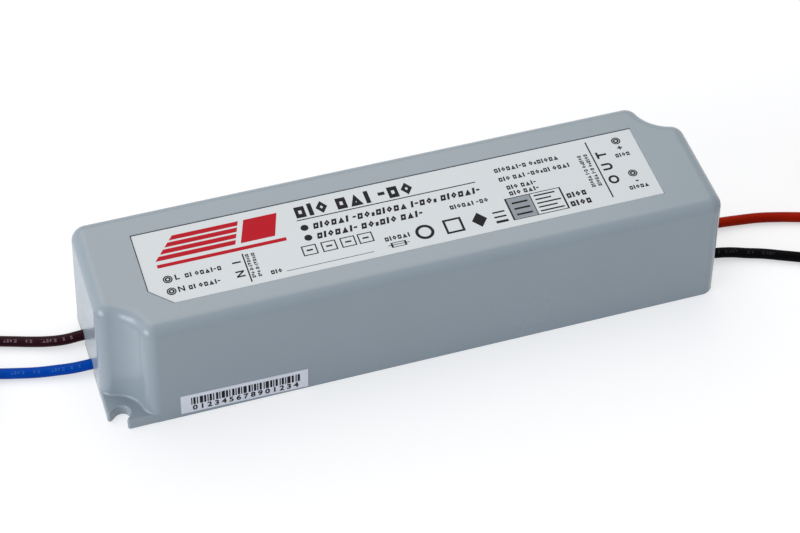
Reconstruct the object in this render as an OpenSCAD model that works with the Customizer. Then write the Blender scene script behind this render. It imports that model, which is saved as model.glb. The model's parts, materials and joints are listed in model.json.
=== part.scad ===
// Potted LED driver in a moulded box: slotted mounting ears at two opposite corners, a recessed
// label on top, two supply leads at the left end and two output leads at the right end.
// Origin at the middle of the base, +X towards the output end, +Y to the back, +Z up, millimetres.

/* [Housing] */
// Length of the housing at its base
housing_l = 162.5; // [160:0.5:200]
// Width of the housing at its base
housing_w = 42.5; // [41:0.5:60]
// Height of the housing
housing_h = 33.5; // [32.5:0.5:45]
// Thickness of the side walls
wall = 2; // [1.5:0.1:2.5]
// Thickness of the top wall
top_wall = 2.2; // [1.5:0.1:3]
// Draft of the outer walls, in degrees
draft = 1.8; // [0.5:0.1:2]
// Radius of the upright edges
edge_r = 3.8; // [3.6:0.1:5]
// Radius of the edge round the top
top_r = 3.4; // [1:0.1:3.5]

/* [Mounting ears] */
// Radius of the scoop above each ear, at the base
scoop_r = 8.4; // [8:0.1:11]
// Distance of the scoop's centre from both outer faces
scoop_inset = 1.1; // [0.5:0.1:2]
// Draft of the scoop, in degrees
scoop_draft = 2; // [0.5:0.1:3]
// Thickness of the ear
foot_h = 3; // [2:0.1:5]
// Width of the screw slot at its round end
slot_w = 4.2; // [3.5:0.1:5]
// Distance of the slot's round end, at its centre, from the end face
slot_inset_l = 3.6; // [3:0.1:4.5]
// Distance of the slot's round end, at its centre, from the side face
slot_inset_w = 3.2; // [3:0.1:4.5]
// How much wider the slot gets on its way out through the corner
slot_flare = 1.6; // [0.2:0.1:2.5]
// Radius of the ear's two tips beside the slot's mouth
tip_r = 0.6; // [0.2:0.1:0.7]
// Radius of the hollow edge where the scoop meets the ear
foot_fillet = 0.6; // [0.3:0.1:1]

/* [Label and sticker] */
// Length of the label on top
label_l = 132.6; // [100:0.2:140]
// Width of the label on top
label_w = 24; // [18:0.2:28]
// Place of the label's middle across the top
label_y = -0.5; // [-1:0.1:1]
// Size of the label's cut corner
label_cut = 5.2; // [2:0.2:8]
// Thickness of the label
label_t = 0.2; // [0.1:0.05:0.3]
// Depth of the recess that holds the label
label_recess = 0.4; // [0.3:0.05:0.8]
// Gap between the label and the edge of its recess
label_clear = 0.2; // [0.1:0.05:0.5]
// Length of the sticker on the front wall
sticker_l = 32.8; // [20:0.2:50]
// Height of the sticker
sticker_h = 6.5; // [4:0.1:10]
// Thickness of the sticker
sticker_t = 0.12; // [0.08:0.02:0.3]
// Distance of the sticker from the left end of the housing
sticker_x = 18; // [16:0.5:60]
// Height of the sticker's lower edge above the base
sticker_z = 1.2; // [0.6:0.1:10]
// Slant of the sticker, in degrees
sticker_tilt = -1; // [-2:0.1:2]

/* [Leads] */
// Outer diameter of a lead
lead_d = 2.8; // [2:0.1:2.8]
// Height of a lead's centre where it passes the end wall
lead_z = 2.3; // [2.2:0.1:2.6]
// Distance between the two leads of an end
lead_pitch = 10; // [10:0.5:12]
// Gap between a lead and its notch in the wall
lead_clear = 0.15; // [0.1:0.05:0.3]
// Length of a lead outside the housing
lead_l = 200; // [190:1:210]
// Radius of a coil, at the middle of its turns
coil_r = 14; // [13:0.1:15]
// Diameter of the bare conductor
conductor_d = 1.2; // [0.8:0.1:1.6]
// Length of the bare conductor at the free end
bare_l = 7; // [4:0.5:8]

/* [Board] */
// Height of the board's solder side
board_z = 5; // [4.9:0.1:6]
// Thickness of the board
board_t = 1.6; // [1:0.1:1.6]
// Gap between the board's edge and the wall
board_clear = 0.6; // [0.3:0.1:1.5]
// Depth of the resin's surface inside the rim
resin_gap = 0.8; // [0.3:0.1:0.9]
// Diameter of the components' pins
pin_d = 0.8; // [0.5:0.05:1]
// How far the pins reach past the solder side
pin_out = 1.2; // [0.6:0.1:1.4]
// Gap between neighbouring components
part_gap = 1.5; // [1:0.1:1.8]
// Gap between the outermost components and the walls
side_gap = 1.5; // [1.2:0.1:2]
// Stretch at the left end that is kept free for the leads' joints
joint_zone = 14; // [14:0.5:16]
// Distance of the last component from the right end of the housing
end_zone = 5; // [4:0.5:7]

/* [Supply side] */
// Diameter of the fuse
fuse_d = 8.4; // [6:0.2:9]
// Height of the fuse
fuse_h = 8; // [5:0.5:12]
// Diameter of the inrush limiter
inrush_d = 11; // [8:0.5:13]
// Thickness of the inrush limiter
inrush_t = 4.6; // [3:0.2:6]
// Diameter of the surge varistor
varistor_d = 14; // [10:0.5:16]
// Thickness of the surge varistor
varistor_t = 4.4; // [3:0.2:5]
// Length of the mains capacitor
mains_cap_l = 26; // [18:0.5:30]
// Thickness of the mains capacitor
mains_cap_t = 8.5; // [6:0.5:9]
// Height of the mains capacitor
mains_cap_h = 17.5; // [10:0.5:20]
// Outer diameter of the choke's ring core
choke_od = 18; // [16:0.5:19]
// Inner diameter of the choke's ring core
choke_id = 9.6; // [8:0.2:11]
// Height of the choke's ring core
choke_h = 7.6; // [5:0.2:8]
// Thickness of the choke's layer of wire
choke_wire = 1.1; // [0.6:0.1:1.4]
// Width of the bridge rectifier
bridge_w = 14.6; // [12:0.2:20]
// Thickness of the bridge rectifier
bridge_t = 3.6; // [3:0.1:4]
// Height of the bridge rectifier's body
bridge_h = 11; // [8:0.5:15]
// Diameter of the bulk capacitor
bulk_d = 18.2; // [14:0.2:19]
// Diameter of the bleed resistor
resistor_d = 4; // [3:0.2:5]
// Length of the bleed resistor
resistor_l = 10; // [7:0.5:12]

/* [Switching stage] */
// Length of the heatsink plates
sink_l = 22; // [14:0.5:24]
// Height of the heatsink plates
sink_h = 20.5; // [20.5:0.5:22]
// Thickness of the heatsink plates
sink_t = 1.6; // [1:0.1:2]
// Width of a power transistor's body
device_w = 10.2; // [9:0.2:11]
// Height of a power transistor's body
device_h = 15.6; // [15:0.2:16]
// Thickness of a power transistor's body
device_t = 4.6; // [4:0.1:4.8]
// Diameter of the screws that hold the power transistors
screw_d = 3; // [2.5:0.5:3]
// Length of the controller chip
chip_l = 9.4; // [8:0.2:10]
// Width of the controller chip
chip_w = 6.4; // [5:0.2:6.6]
// Width of the transformer's core
core_w = 28; // [26:0.5:30]
// Length of one half of the transformer's core
core_l = 14; // [13:0.2:14.6]
// Thickness of the transformer's core
core_t = 11; // [9:0.2:11.4]
// Thickness of the core's centre leg
core_leg = 8; // [6:0.2:9]
// Thickness of the core's outer legs
core_side = 5; // [4:0.1:5.2]
// Thickness of the core's back
core_back = 4.5; // [3.5:0.1:5]
// Thickness of the transformer's winding
winding_t = 3; // [2:0.1:3.2]
// Diameter of the safety capacitor
safety_cap_d = 10; // [7:0.5:12]
// Thickness of the safety capacitor
safety_cap_t = 5; // [4:0.2:5.2]

/* [Output side] */
// Diameter of an output capacitor
out_cap_d = 10; // [8:0.2:10.4]
// Height of an output capacitor
out_cap_h = 20; // [12:0.5:23]
// Diameter of the filter inductor
inductor_d = 9; // [7:0.2:9.6]
// Height of the filter inductor
inductor_h = 11; // [8:0.5:16]

/* [Hidden] */

// Facets on a drawn circle, and steps along the housing's arcs
$fn = 48;
corner_steps = 8;
scoop_steps = 14;
fillet_steps = 7;
foot_steps = 3;
// Overshoot of a cut past the surface that it opens
over = 1;
// A pin reaches this far into the part that it carries
pin_bed = 1;

// Housing
half_l = housing_l / 2;
half_w = housing_w / 2;
scoop_x = half_l - scoop_inset;
scoop_y = half_w - scoop_inset;
cavity_top = housing_h - top_wall;
notch_r = lead_d / 2 + lead_clear;
// The ear lies this far inside the wall's face, so that the two surfaces never coincide
foot_step = 0.15;
// The slot's straight sides start this far inside its round end
slot_lap = 0.05;
slot_r = slot_w / 2;
slot_start = slot_r - slot_lap;
slot_length = slot_inset_l + slot_inset_w;
slot_centre = [half_l - slot_inset_l, half_w - slot_inset_w];
// The resin stops this far short of the wall's outer face in a lead notch
resin_lip = 0.4;

function inward(z) = z * tan(draft);
function along(angle) = [cos(angle), sin(angle)];
function arc_points(centre, r, from, to, steps) =
    [for (i = [0:steps]) centre + r * along(from + (to - from) * i / steps)];
function inner_points(points) = [for (i = [1:len(points) - 2]) points[i]];
function turned(points) = [for (p = points) -p];

// The rounded front right corner at height z, moved inwards by inset
function plain_corner(z, inset) =
    let (centre = [half_l - inward(z) - edge_r, -half_w + inward(z) + edge_r])
    arc_points(centre, edge_r - inset, -90, 0, corner_steps);

// The scooped back right corner at height z: a convex blend, the hollow scoop and a second blend.
// The scoop is narrower by its swell where it runs into the ear.
function scoop_at(z, swell) = scoop_r + z * tan(scoop_draft) - swell;
function blend_side(z) = inward(z) + edge_r - scoop_inset;
function blend_reach(z, swell) = sqrt(pow(scoop_at(z, swell) + edge_r, 2) - pow(blend_side(z), 2));
function scooped_corner(z, inset, swell) =
    let (
        scoop = [scoop_x, scoop_y],
        side = blend_side(z),
        reach = blend_reach(z, swell),
        lean = atan2(reach, side),
        r = edge_r - inset
    )
    concat(
        arc_points(scoop - [side, reach], r, 0, lean, corner_steps),
        inner_points(arc_points(scoop, scoop_at(z, swell) + inset, 180 + lean, 270 - lean, scoop_steps)),
        arc_points(scoop - [reach, side], r, 90 - lean, 90, corner_steps)
    );

// The housing's whole outline: one half, and the same half turned by 180 degrees
function half_outline(z, inset, swell) = concat(plain_corner(z, inset), scooped_corner(z, inset, swell));
function outline(z, inset, swell = 0) =
    let (half = half_outline(z, inset, swell))
    concat(half, turned(half));
function outline_ring(z, inset, swell = 0) = [for (p = outline(z, inset, swell)) [p[0], p[1], z]];

// A closed skin over rings of equally many points, from the lowest to the highest
module skin(rings) {
    n = len(rings[0]);
    last = len(rings) - 1;
    points = [for (ring = rings) each ring];
    sides = [for (k = [0:last - 1], i = [0:n - 1])
        [k * n + i, (k + 1) * n + i, (k + 1) * n + (i + 1) % n, k * n + (i + 1) % n]];
    low = [for (i = [0:n - 1]) i];
    high = [for (i = [n - 1:-1:0]) last * n + i];
    polyhedron(points, concat([low], sides, [high]));
}

// Label
recess_l = label_l + 2 * label_clear;
recess_w = label_w + 2 * label_clear;
recess_cut = label_cut + label_clear;
recess_z = housing_h - label_recess;

function label_outline(l, w, cut) =
    [[-l / 2 + cut, -w / 2], [l / 2, -w / 2], [l / 2, w / 2], [-l / 2, w / 2], [-l / 2, -w / 2 + cut]];

// Leads: the points that each follows, from its joint under the board to the start of its coil
line_route = [[-66, 10, 3.5], [-70, 10, 3.4], [-74, 10, 2.8], [-78, 10, 2.4], [-82, 10, 2.3],
    [-86, 10.1, 2], [-90, 10.9, 1.7], [-94, 12.2, 1.4], [-98, 13.5, 1.4], [-102, 14.8, 1.4],
    [-110, 17.4, 1.4], [-118, 19.7, 1.4], [-126, 21.6, 1.4], [-134, 23.1, 1.5], [-139.6, 24, 1.7],
    [-145.2, 24.8, 1.9]];
neutral_route = [[-66, 0, 3.5], [-70, 0, 3.4], [-74, 0, 2.8], [-78, 0, 2.4], [-82, 0, 2.3], [-86, 0.3, 2],
    [-90, 1, 1.7], [-95, 2, 1.4], [-100, 3.2, 1.4], [-104, 4.2, 1.5], [-108.6, 5.6, 1.7], [-113.2, 7, 1.9]];
plus_route = [[66, 0, 3.5], [70, 0, 3.4], [74, 0, 2.8], [78, 0, 2.4], [82, 0, 2.3], [87, 0, 2],
    [92, -0.1, 1.6], [97, -0.5, 1.4], [102, -1.2, 1.4], [107, -2.4, 1.4], [112, -3.9, 1.4],
    [116, -5.3, 1.5], [120, -6.7, 1.7], [124.5, -8.1, 1.9]];
minus_route = [[66, -10, 3.5], [70, -10, 3.4], [74, -10, 2.8], [78, -10, 2.4], [82, -10, 2.3],
    [86, -10.3, 2], [90, -11, 1.7], [94, -12.2, 1.4], [98, -13.6, 1.4], [103, -15.8, 1.4], [108, -18, 1.4],
    [114, -20.4, 1.4], [122, -22.9, 1.4], [130, -24.6, 1.4], [140, -25.8, 1.4], [148, -26, 1.6],
    [155, -25.9, 1.8], [162, -25.5, 1.9]];
// Sides of a lead's tube
lead_sides = 8;

// A coil: the lead comes in along a tangent, the outer turn steps inwards over its last part, then the
// inner turn runs on to the free end
step_angle = 60;
outer_r = coil_r + lead_d / 2;
inner_r = coil_r - lead_d / 2;
lead_in_spare = 1;
lead_in = sqrt(2 * outer_r * lead_d) + lead_in_spare;
// The inner turn's solid starts this many degrees before the outer turn is complete, and laps into it
inner_start = 40;
ring_lap = 0.1;

function unit(v) = v / norm(v);
function route_end(route) = route[len(route) - 1];
function heading(route) = let (d = route_end(route) - route[len(route) - 2]) unit([d[0], d[1], 0]);
function coil_start(route) = route_end(route) + lead_in * heading(route);
function coil_centre(route) = coil_start(route) + outer_r * [-heading(route)[1], heading(route)[0], 0];
function coil_turn(route) = atan2(-heading(route)[0], heading(route)[1]);
function outside_points(route) = [for (p = route) if (abs(p[0]) >= half_l) p];
function route_length(points) =
    len(points) < 2 ? 0
        : norm(points[1] - points[0]) + route_length([for (i = [1:len(points) - 1]) points[i]]);
function arc_length(r, angle) = r * angle * PI / 180;
function inner_angle(route) =
    let (
        first_turn = arc_length(outer_r, 360 - step_angle) + arc_length(coil_r, step_angle),
        rest = lead_l - route_length(outside_points(route)) - lead_in - first_turn
    )
    rest / arc_length(inner_r, 1);

function tube_ring(route, i) =
    let (
        last = len(route) - 1,
        along = unit(route[min(i + 1, last)] - route[max(i - 1, 0)]),
        flat_along = i == last ? heading(route) : along,
        side = unit(cross(flat_along, [0, 0, 1])),
        rise = cross(side, flat_along)
    )
    [for (k = [0:lead_sides - 1]) let (a = -360 * k / lead_sides)
        route[i] + lead_d / 2 * (cos(a) * side + sin(a) * rise)];

// Board
board_top = board_z + board_t;
back_y = half_w - wall - side_gap;
front_y = -back_y;
row_x0 = -half_l + joint_zone;
row_x1 = half_l - end_zone;

// Sizes that like components share
disc_pitch = 5;
disc_rise = 1.5;
can_edge = 0.8;
can_groove = 0.6;
leg_t = 0.4;
leg_w = 0.7;
leg_reach = 0.6;
chip_pitch = 2.54;
chip_rise = 0.6;

// Output side, from the right end inwards
inductor_x = row_x1 - inductor_d / 2;
inductor_y = -lead_pitch / 2;
inductor_pitch = 5;
inductor_flange = 1.5;
inductor_hub_share = 0.55;
inductor_hub_d = inductor_d * inductor_hub_share;
inductor_wire = 0.3;
out_cap_pitch = 5;
out_cap_right_x = row_x1 - inductor_d - part_gap - out_cap_d / 2;
out_cap_left_x = out_cap_right_x - out_cap_d - part_gap / 2;
out_cap_back_y = back_y - out_cap_d / 2;
out_cap_mid_y = out_cap_back_y - out_cap_d - part_gap / 2;
diode_x = out_cap_right_x - out_cap_d / 2;

// Transformer, with its winding's axis along X
core_x = out_cap_left_x - out_cap_d / 2 - part_gap - core_l;
core_fit = 0.2;
bobbin_t = 1;
flange_lip = 0.4;
bobbin_w = core_leg / 2 + core_fit + bobbin_t;
bobbin_h = core_t / 2 + core_fit + bobbin_t;
flange_h = bobbin_h + winding_t + flange_lip;
flange_w = core_w / 2 - core_side - core_fit;
flange_x = core_l - core_back - core_fit;
core_z = board_top + flange_h + flange_lip;
rail_l = 4.6;
rail_w = 22;
rail_h = core_z - core_t / 2 - core_fit - board_top;
rail_pitch = 5;

// Parts that bridge the gap between the two sides, in one column next to the transformer
coupler_l = 4.6;
coupler_w = 6;
coupler_h = 3.4;
coupler_rows = coupler_w + 2 * leg_reach;
safety_cap_y = front_y + safety_cap_d / 2;
coupler_y = safety_cap_y + safety_cap_d / 2 + part_gap + coupler_rows / 2 + leg_t;
snubber_cap_t = 3.5;
column_t = max(safety_cap_t, coupler_l, snubber_cap_t);
column_x = core_x - core_l - part_gap - column_t / 2;
snubber_cap_l = 7.2;
snubber_cap_h = 8;
snubber_cap_pitch = 5;
snubber_cap_y = coupler_y + coupler_rows / 2 + leg_t + part_gap + snubber_cap_l / 2;

// Supply side, from the left end inwards
fuse_x = row_x0 + fuse_d / 2;
fuse_y = back_y - fuse_d / 2;
fuse_pitch = 5;
inrush_x = row_x0 + inrush_t / 2;
inrush_y = fuse_y - fuse_d / 2 - part_gap - inrush_d / 2;
varistor_x = row_x0 + max(fuse_d, inrush_t) + part_gap + varistor_t / 2;
varistor_y = back_y - varistor_d / 2;
resistor_rise = 0.5;
resistor_reach = 1.5;
// The wire through the resistor is thinner than the pins that carry it
resistor_wire_thinner = 0.15;
resistor_wire_d = pin_d - resistor_wire_thinner;
resistor_x = varistor_x;
resistor_y = varistor_y - varistor_d / 2 - part_gap - resistor_reach - resistor_l / 2;
mains_cap_x = varistor_x + varistor_t / 2 + part_gap + mains_cap_t / 2;
mains_cap_leg_inset = 2.5;
mains_cap_pitch = mains_cap_l - 2 * mains_cap_leg_inset;
choke_x = mains_cap_x + mains_cap_t / 2 + part_gap + choke_h / 2 + choke_wire;
choke_rise = 0.6;
choke_z = board_top + choke_rise + choke_od / 2 + choke_wire;
choke_span = 130;
choke_pin_x = choke_h / 4;
// Where the choke's pins stand and end, as shares of its core's diameter
choke_pin_out = 0.4;
choke_pin_up = 0.35;
choke_pin_y = choke_od * choke_pin_out;
choke_pin_top = choke_z - choke_od * choke_pin_up;
bridge_x = choke_x + choke_h / 2 + choke_wire + part_gap + bridge_t / 2;
bridge_pitch = 3.6;
bridge_rise = 2.5;
bulk_bend = 3;
bulk_x0 = bridge_x + bridge_t / 2 + part_gap + bulk_bend;
bulk_l = column_x - column_t / 2 - part_gap - bulk_x0;
bulk_y = front_y + bulk_d / 2;
bulk_z = board_top + bulk_d / 2;
bulk_pitch = 7.5;
bulk_groove_at = 3;
out_cap_groove_at = 2;

// Switching stage, against the back wall behind the bulk capacitor
switch_x = bulk_x0 + bulk_l / 2;
sink_leg_inset = 3;
sink_pitch = sink_l - 2 * sink_leg_inset;
device_rise = 3.4;
device_pitch = 2.54;
device_hole_drop = 3.6;
device_hole_z = board_top + device_rise + device_h - device_hole_drop;
screw_head_d = 5.6;
screw_head_h = 2;
screw_clear = 0.1;
chip_h = 3.4;
chip_rows = chip_w + 2 * leg_reach;
chip_x = bulk_x0 + chip_l / 2;
chip_y = (bulk_y + bulk_d / 2 + back_y - sink_t - device_t) / 2;

// Places of the pins, which the board is drilled for
function pair_x(x, y, pitch) = [[x - pitch / 2, y], [x + pitch / 2, y]];
function pair_y(x, y, pitch) = [[x, y - pitch / 2], [x, y + pitch / 2]];
function row_y(x, y, pitch, count) = [for (i = [0:count - 1]) [x, y + (i - (count - 1) / 2) * pitch]];
function row_x(x, y, pitch, count) = [for (i = [0:count - 1]) [x + (i - (count - 1) / 2) * pitch, y]];

fuse_pins = pair_x(fuse_x, fuse_y, fuse_pitch);
inrush_pins = pair_y(inrush_x, inrush_y, disc_pitch);
varistor_pins = pair_y(varistor_x, varistor_y, disc_pitch);
mains_cap_pins = pair_y(mains_cap_x, 0, mains_cap_pitch);
choke_line_pins = pair_x(choke_x, choke_pin_y, 2 * choke_pin_x);
choke_neutral_pins = pair_x(choke_x, -choke_pin_y, 2 * choke_pin_x);
bridge_pins = row_y(bridge_x, 0, bridge_pitch, 4);
bulk_pins = pair_y(bulk_x0 - bulk_bend + pin_d, bulk_y, bulk_pitch);
switch_pins = row_x(switch_x, back_y - sink_t - device_t / 2, device_pitch, 3);
switch_sink_pins = pair_x(switch_x, back_y - sink_t / 2, sink_pitch);
chip_pins = concat(row_x(chip_x, chip_y - chip_rows / 2, chip_pitch, 4),
    row_x(chip_x, chip_y + chip_rows / 2, chip_pitch, 4));
resistor_pins = pair_y(resistor_x, resistor_y, resistor_l + 2 * resistor_reach);
safety_cap_pins = pair_y(column_x, safety_cap_y, disc_pitch);
coupler_pins = concat(row_x(column_x, coupler_y - coupler_rows / 2, chip_pitch, 2),
    row_x(column_x, coupler_y + coupler_rows / 2, chip_pitch, 2));
snubber_cap_pins = pair_y(column_x, snubber_cap_y, snubber_cap_pitch);
rail_x = flange_x - bobbin_t + rail_l / 2;
bobbin_pins = concat(row_y(core_x - rail_x, 0, rail_pitch, 4), row_y(core_x + rail_x, 0, rail_pitch, 4));
diode_pins = row_x(diode_x, front_y + sink_t + device_t / 2, device_pitch, 3);
diode_sink_pins = pair_x(diode_x, front_y + sink_t / 2, sink_pitch);
cap_front_pins = pair_x(out_cap_left_x, out_cap_mid_y, out_cap_pitch);
cap_middle_pins = pair_x(out_cap_right_x, out_cap_mid_y, out_cap_pitch);
cap_back_pins = pair_x(out_cap_right_x, out_cap_back_y, out_cap_pitch);
inductor_pins = pair_x(inductor_x, inductor_y, inductor_pitch);
all_pins = concat(fuse_pins, inrush_pins, varistor_pins, mains_cap_pins, choke_line_pins,
    choke_neutral_pins, bridge_pins, bulk_pins, switch_pins, switch_sink_pins, chip_pins, resistor_pins,
    safety_cap_pins, coupler_pins, snubber_cap_pins, bobbin_pins, diode_pins, diode_sink_pins,
    cap_front_pins, cap_middle_pins, cap_back_pins, inductor_pins);

// Shapes that several pieces share

module outer_body() {
    ear = [for (i = [0:foot_steps]) let (a = 90 * i / foot_steps)
        outline_ring(foot_h + foot_fillet * (1 - cos(a)), 0, foot_fillet * (1 - sin(a)))];
    fillet = [for (i = [0:fillet_steps]) let (a = 90 * i / fillet_steps)
        outline_ring(housing_h - top_r + top_r * sin(a), top_r * (1 - cos(a)))];
    skin(concat([outline_ring(0, 0, foot_fillet)], ear, fillet));
}

module cavity() {
    skin([outline_ring(-over, wall), outline_ring(cavity_top, wall)]);
}

// An upright cut, round at the slot's closed end and opening towards the corner
module slot() {
    mouth = slot_r + slot_flare / 2;
    translate([slot_centre[0], slot_centre[1], -over]) {
        cylinder(r = slot_r, h = foot_h + 2 * over);
        rotate([0, 0, 45]) linear_extrude(foot_h + 2 * over)
            polygon([[0, -slot_start], [slot_length, -mouth], [slot_length, mouth], [0, slot_start]]);
    }
}

// A cut that rounds an upright edge between two faces, which run from the edge along u and v
module edge_round(edge, u, v) {
    middle = unit(u + v);
    half = acos(middle * u);
    facing = atan2(-middle[1], -middle[0]);
    centre = edge + tip_r / sin(half) * middle;
    bend = arc_points(centre, tip_r, facing - 90 + half, facing + 90 - half, corner_steps);
    translate([0, 0, -over]) linear_extrude(foot_h + 2 * over) polygon(concat(bend, [edge - over * middle]));
}

// The back right ear, with its slot and a rounded tip on each side of the slot's mouth
module ear() {
    reach = scoop_inset + blend_reach(0, 0);
    spread = atan((slot_r + slot_flare / 2 - slot_start) / slot_length);
    end_run = along(45 - spread);
    side_run = along(45 + spread);
    end_start = slot_centre + slot_start * along(-45);
    side_start = slot_centre + slot_start * along(135);
    end_tip = end_start + (half_l - foot_step - end_start[0]) / end_run[0] * end_run;
    side_tip = side_start + (half_w - foot_step - side_start[1]) / side_run[1] * side_run;
    difference() {
        translate([half_l - reach, half_w - reach, 0]) cube([reach - foot_step, reach - foot_step, foot_h]);
        slot();
        edge_round(end_tip, -end_run, [0, -1]);
        edge_round(side_tip, -side_run, [-1, 0]);
    }
}

module both_ears() {
    children();
    rotate([0, 0, 180]) children();
}

// A notch in an end wall that a lead is laid into, open downwards, between two places along X
module notch(x0, x1, y, low) {
    round_end = arc_points([0, lead_z], notch_r, 0, 180, 2 * corner_steps);
    translate([x0, y, 0]) rotate([90, 0, 90]) linear_extrude(x1 - x0)
        polygon(concat([[-notch_r, low], [notch_r, low]], round_end));
}

module all_notches(outside, inside, low) {
    for (y = [lead_pitch, 0]) notch(-half_l - outside, -half_l + inside, y, low);
    for (y = [0, -lead_pitch]) notch(half_l - inside, half_l + outside, y, low);
}

module lead_tube(route) {
    skin([for (i = [0:len(route) - 1]) tube_ring(route, i)]);
}

// The outer shape of a coil that lies flat, with the straight stretch by which the lead joins it
module coil(route) {
    translate(coil_centre(route)) rotate([0, 0, coil_turn(route)]) translate([0, 0, -lead_d / 2]) {
        rotate_extrude() translate([coil_r, 0]) square([lead_d, lead_d]);
        rotate([0, 0, -inner_start]) rotate_extrude(angle = inner_start + inner_angle(route))
            translate([coil_r - lead_d, 0]) square([lead_d + ring_lap, lead_d]);
        translate([coil_r, -lead_in, 0]) cube([lead_d, lead_in, lead_d]);
    }
}

// The bare, tinned end of a lead, which runs on from the coil's inner turn
module bare_end(route) {
    translate(coil_centre(route)) rotate([0, 0, coil_turn(route) + inner_angle(route)])
        rotate_extrude(angle = bare_l / arc_length(inner_r, 1))
            translate([inner_r, 0]) circle(d = conductor_d);
}

module pins(places, top) {
    for (p = places) translate([p[0], p[1], board_z - pin_out])
        cylinder(d = pin_d, h = top - board_z + pin_out);
}

// A coated disc on edge, facing along X, with its rim rounded off
module disc_part(x, y, d, t, places) {
    rim = t / 3;
    z = board_top + disc_rise + d / 2;
    translate([x, y, z]) rotate([0, 90, 0]) rotate_extrude() polygon([[0, -t / 2], [d / 2 - rim, -t / 2],
        [d / 2, -t / 2 + rim], [d / 2, t / 2 - rim], [d / 2 - rim, t / 2], [0, t / 2]]);
    pins(places, z - d / 4);
}

// A crimped capacitor can along +Z, with its seal at the bottom
module can(d, h, groove_at) {
    r = d / 2;
    rotate_extrude() polygon([[0, 0], [r - can_edge, 0], [r, can_edge], [r, groove_at - can_groove],
        [r - can_groove, groove_at], [r, groove_at + can_groove], [r, h - can_edge], [r - can_edge, h],
        [0, h]]);
}

module upright_can(x, y, places) {
    translate([x, y, board_top]) can(out_cap_d, out_cap_h, out_cap_groove_at);
    pins(places, board_top + can_edge);
}

// A moulded box with its upper edges chamfered
module box_part(x, y, size, z) {
    edge = 0.6;
    half = size[1] / 2;
    h = size[2];
    translate([x - size[0] / 2, y, z]) rotate([90, 0, 90]) linear_extrude(size[0])
        polygon([[-half, 0], [half, 0], [half, h - edge], [half - edge, h], [-half + edge, h],
            [-half, h - edge]]);
}

// A chip with its legs in two rows along X
module dual_row_chip(x, y, l, w, h, rows, places) {
    leg_z = board_top + chip_rise + h / 2;
    box_part(x, y, [l, w, h], board_top + chip_rise);
    for (p = places) {
        side = p[1] < y ? -1 : 1;
        translate([p[0] - leg_w / 2, min(p[1], p[1] - side * (rows - w)), leg_z])
            cube([leg_w, rows - w, leg_t]);
    }
    pins(places, leg_z + leg_t / 2);
}

module screw_hole(x, d) {
    translate([x, 0, device_hole_z]) rotate([90, 0, 0]) cylinder(d = d, h = 2 * housing_w, center = true);
}

// A power transistor whose back lies on a heatsink's face at y, on the side given
module device_block(x, y, side) {
    translate([x - device_w / 2, side > 0 ? y : y - device_t, board_top + device_rise])
        cube([device_w, device_t, device_h]);
}

module power_device(x, y, side, places) {
    difference() {
        device_block(x, y, side);
        screw_hole(x, screw_d + 2 * screw_clear);
    }
    pins(places, board_top + device_rise + pin_bed);
}

module heatsink_plate(x, y, places) {
    difference() {
        translate([x - sink_l / 2, y, board_top]) cube([sink_l, sink_t, sink_h]);
        screw_hole(x, screw_d);
    }
    pins(places, board_top + pin_bed);
}

// A screw along Y, head on the device's face at y, into the heatsink on the side given
module sink_screw(x, y, side) {
    translate([x, y, device_hole_z]) rotate([-90 * side, 0, 0]) {
        cylinder(d = screw_d, h = device_t + sink_t);
        translate([0, 0, -screw_head_h]) cylinder(d = screw_head_d, h = screw_head_h);
    }
}

// One half of the core, with its three legs pointing towards +X
module core_half() {
    window = core_w / 2 - core_side - core_leg / 2;
    difference() {
        translate([-core_l, -core_w / 2, -core_t / 2]) cube([core_l, core_w, core_t]);
        for (y = [core_leg / 2, -core_leg / 2 - window]) translate([core_back - core_l, y, -core_t])
            cube([core_l, window, 2 * core_t]);
    }
}

// One sector of wire round the choke's core, about the core's axis along Z
module choke_sector() {
    outer = choke_od / 2 + choke_wire;
    inner = choke_id / 2 - choke_wire;
    height = choke_h + 2 * choke_wire;
    rotate([0, 0, -choke_span / 2]) rotate_extrude(angle = choke_span) difference() {
        translate([inner, -height / 2]) square([outer - inner, height]);
        translate([choke_id / 2, -choke_h / 2]) square([(choke_od - choke_id) / 2, choke_h]);
    }
}

// The pieces of the driver

module housing() {
    color([0.63, 0.66, 0.69]) difference() {
        union() {
            outer_body();
            both_ears() ear();
        }
        cavity();
        all_notches(over, 2 * wall, -over);
        translate([0, label_y, recess_z]) linear_extrude(label_recess + over)
            polygon(label_outline(recess_l, recess_w, recess_cut));
    }
}

module potting() {
    color([0.4, 0.42, 0.44]) difference() {
        union() {
            cavity();
            all_notches(-resin_lip, 2 * wall, -over);
        }
        translate([-housing_l, -housing_w, -2 * over])
            cube([2 * housing_l, 2 * housing_w, 2 * over + resin_gap]);
        board_blank();
        parts_on_board();
        device_block(switch_x, back_y - sink_t, -1);
        device_block(diode_x, front_y + sink_t, 1);
        lead_tube(line_route);
        lead_tube(neutral_route);
        lead_tube(plus_route);
        lead_tube(minus_route);
    }
}

module rating_label() {
    color([0.85, 0.86, 0.88]) translate([0, label_y, recess_z]) linear_extrude(label_t)
        polygon(label_outline(label_l, label_w, label_cut));
}

module serial_sticker() {
    color("white") translate([-half_l + sticker_x, -half_w, 0]) rotate([90 - draft, 0, 0])
        translate([0, sticker_z, 0]) rotate([0, 0, sticker_tilt]) cube([sticker_l, sticker_h, sticker_t]);
}

module board_blank() {
    translate([0, 0, board_z]) linear_extrude(board_t) polygon(outline(board_top, wall + board_clear));
}

module circuit_board() {
    color([0.1, 0.35, 0.15]) difference() {
        board_blank();
        for (p = all_pins) translate([p[0], p[1], board_z - over])
            cylinder(d = pin_d, h = board_t + 2 * over);
    }
}

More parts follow.
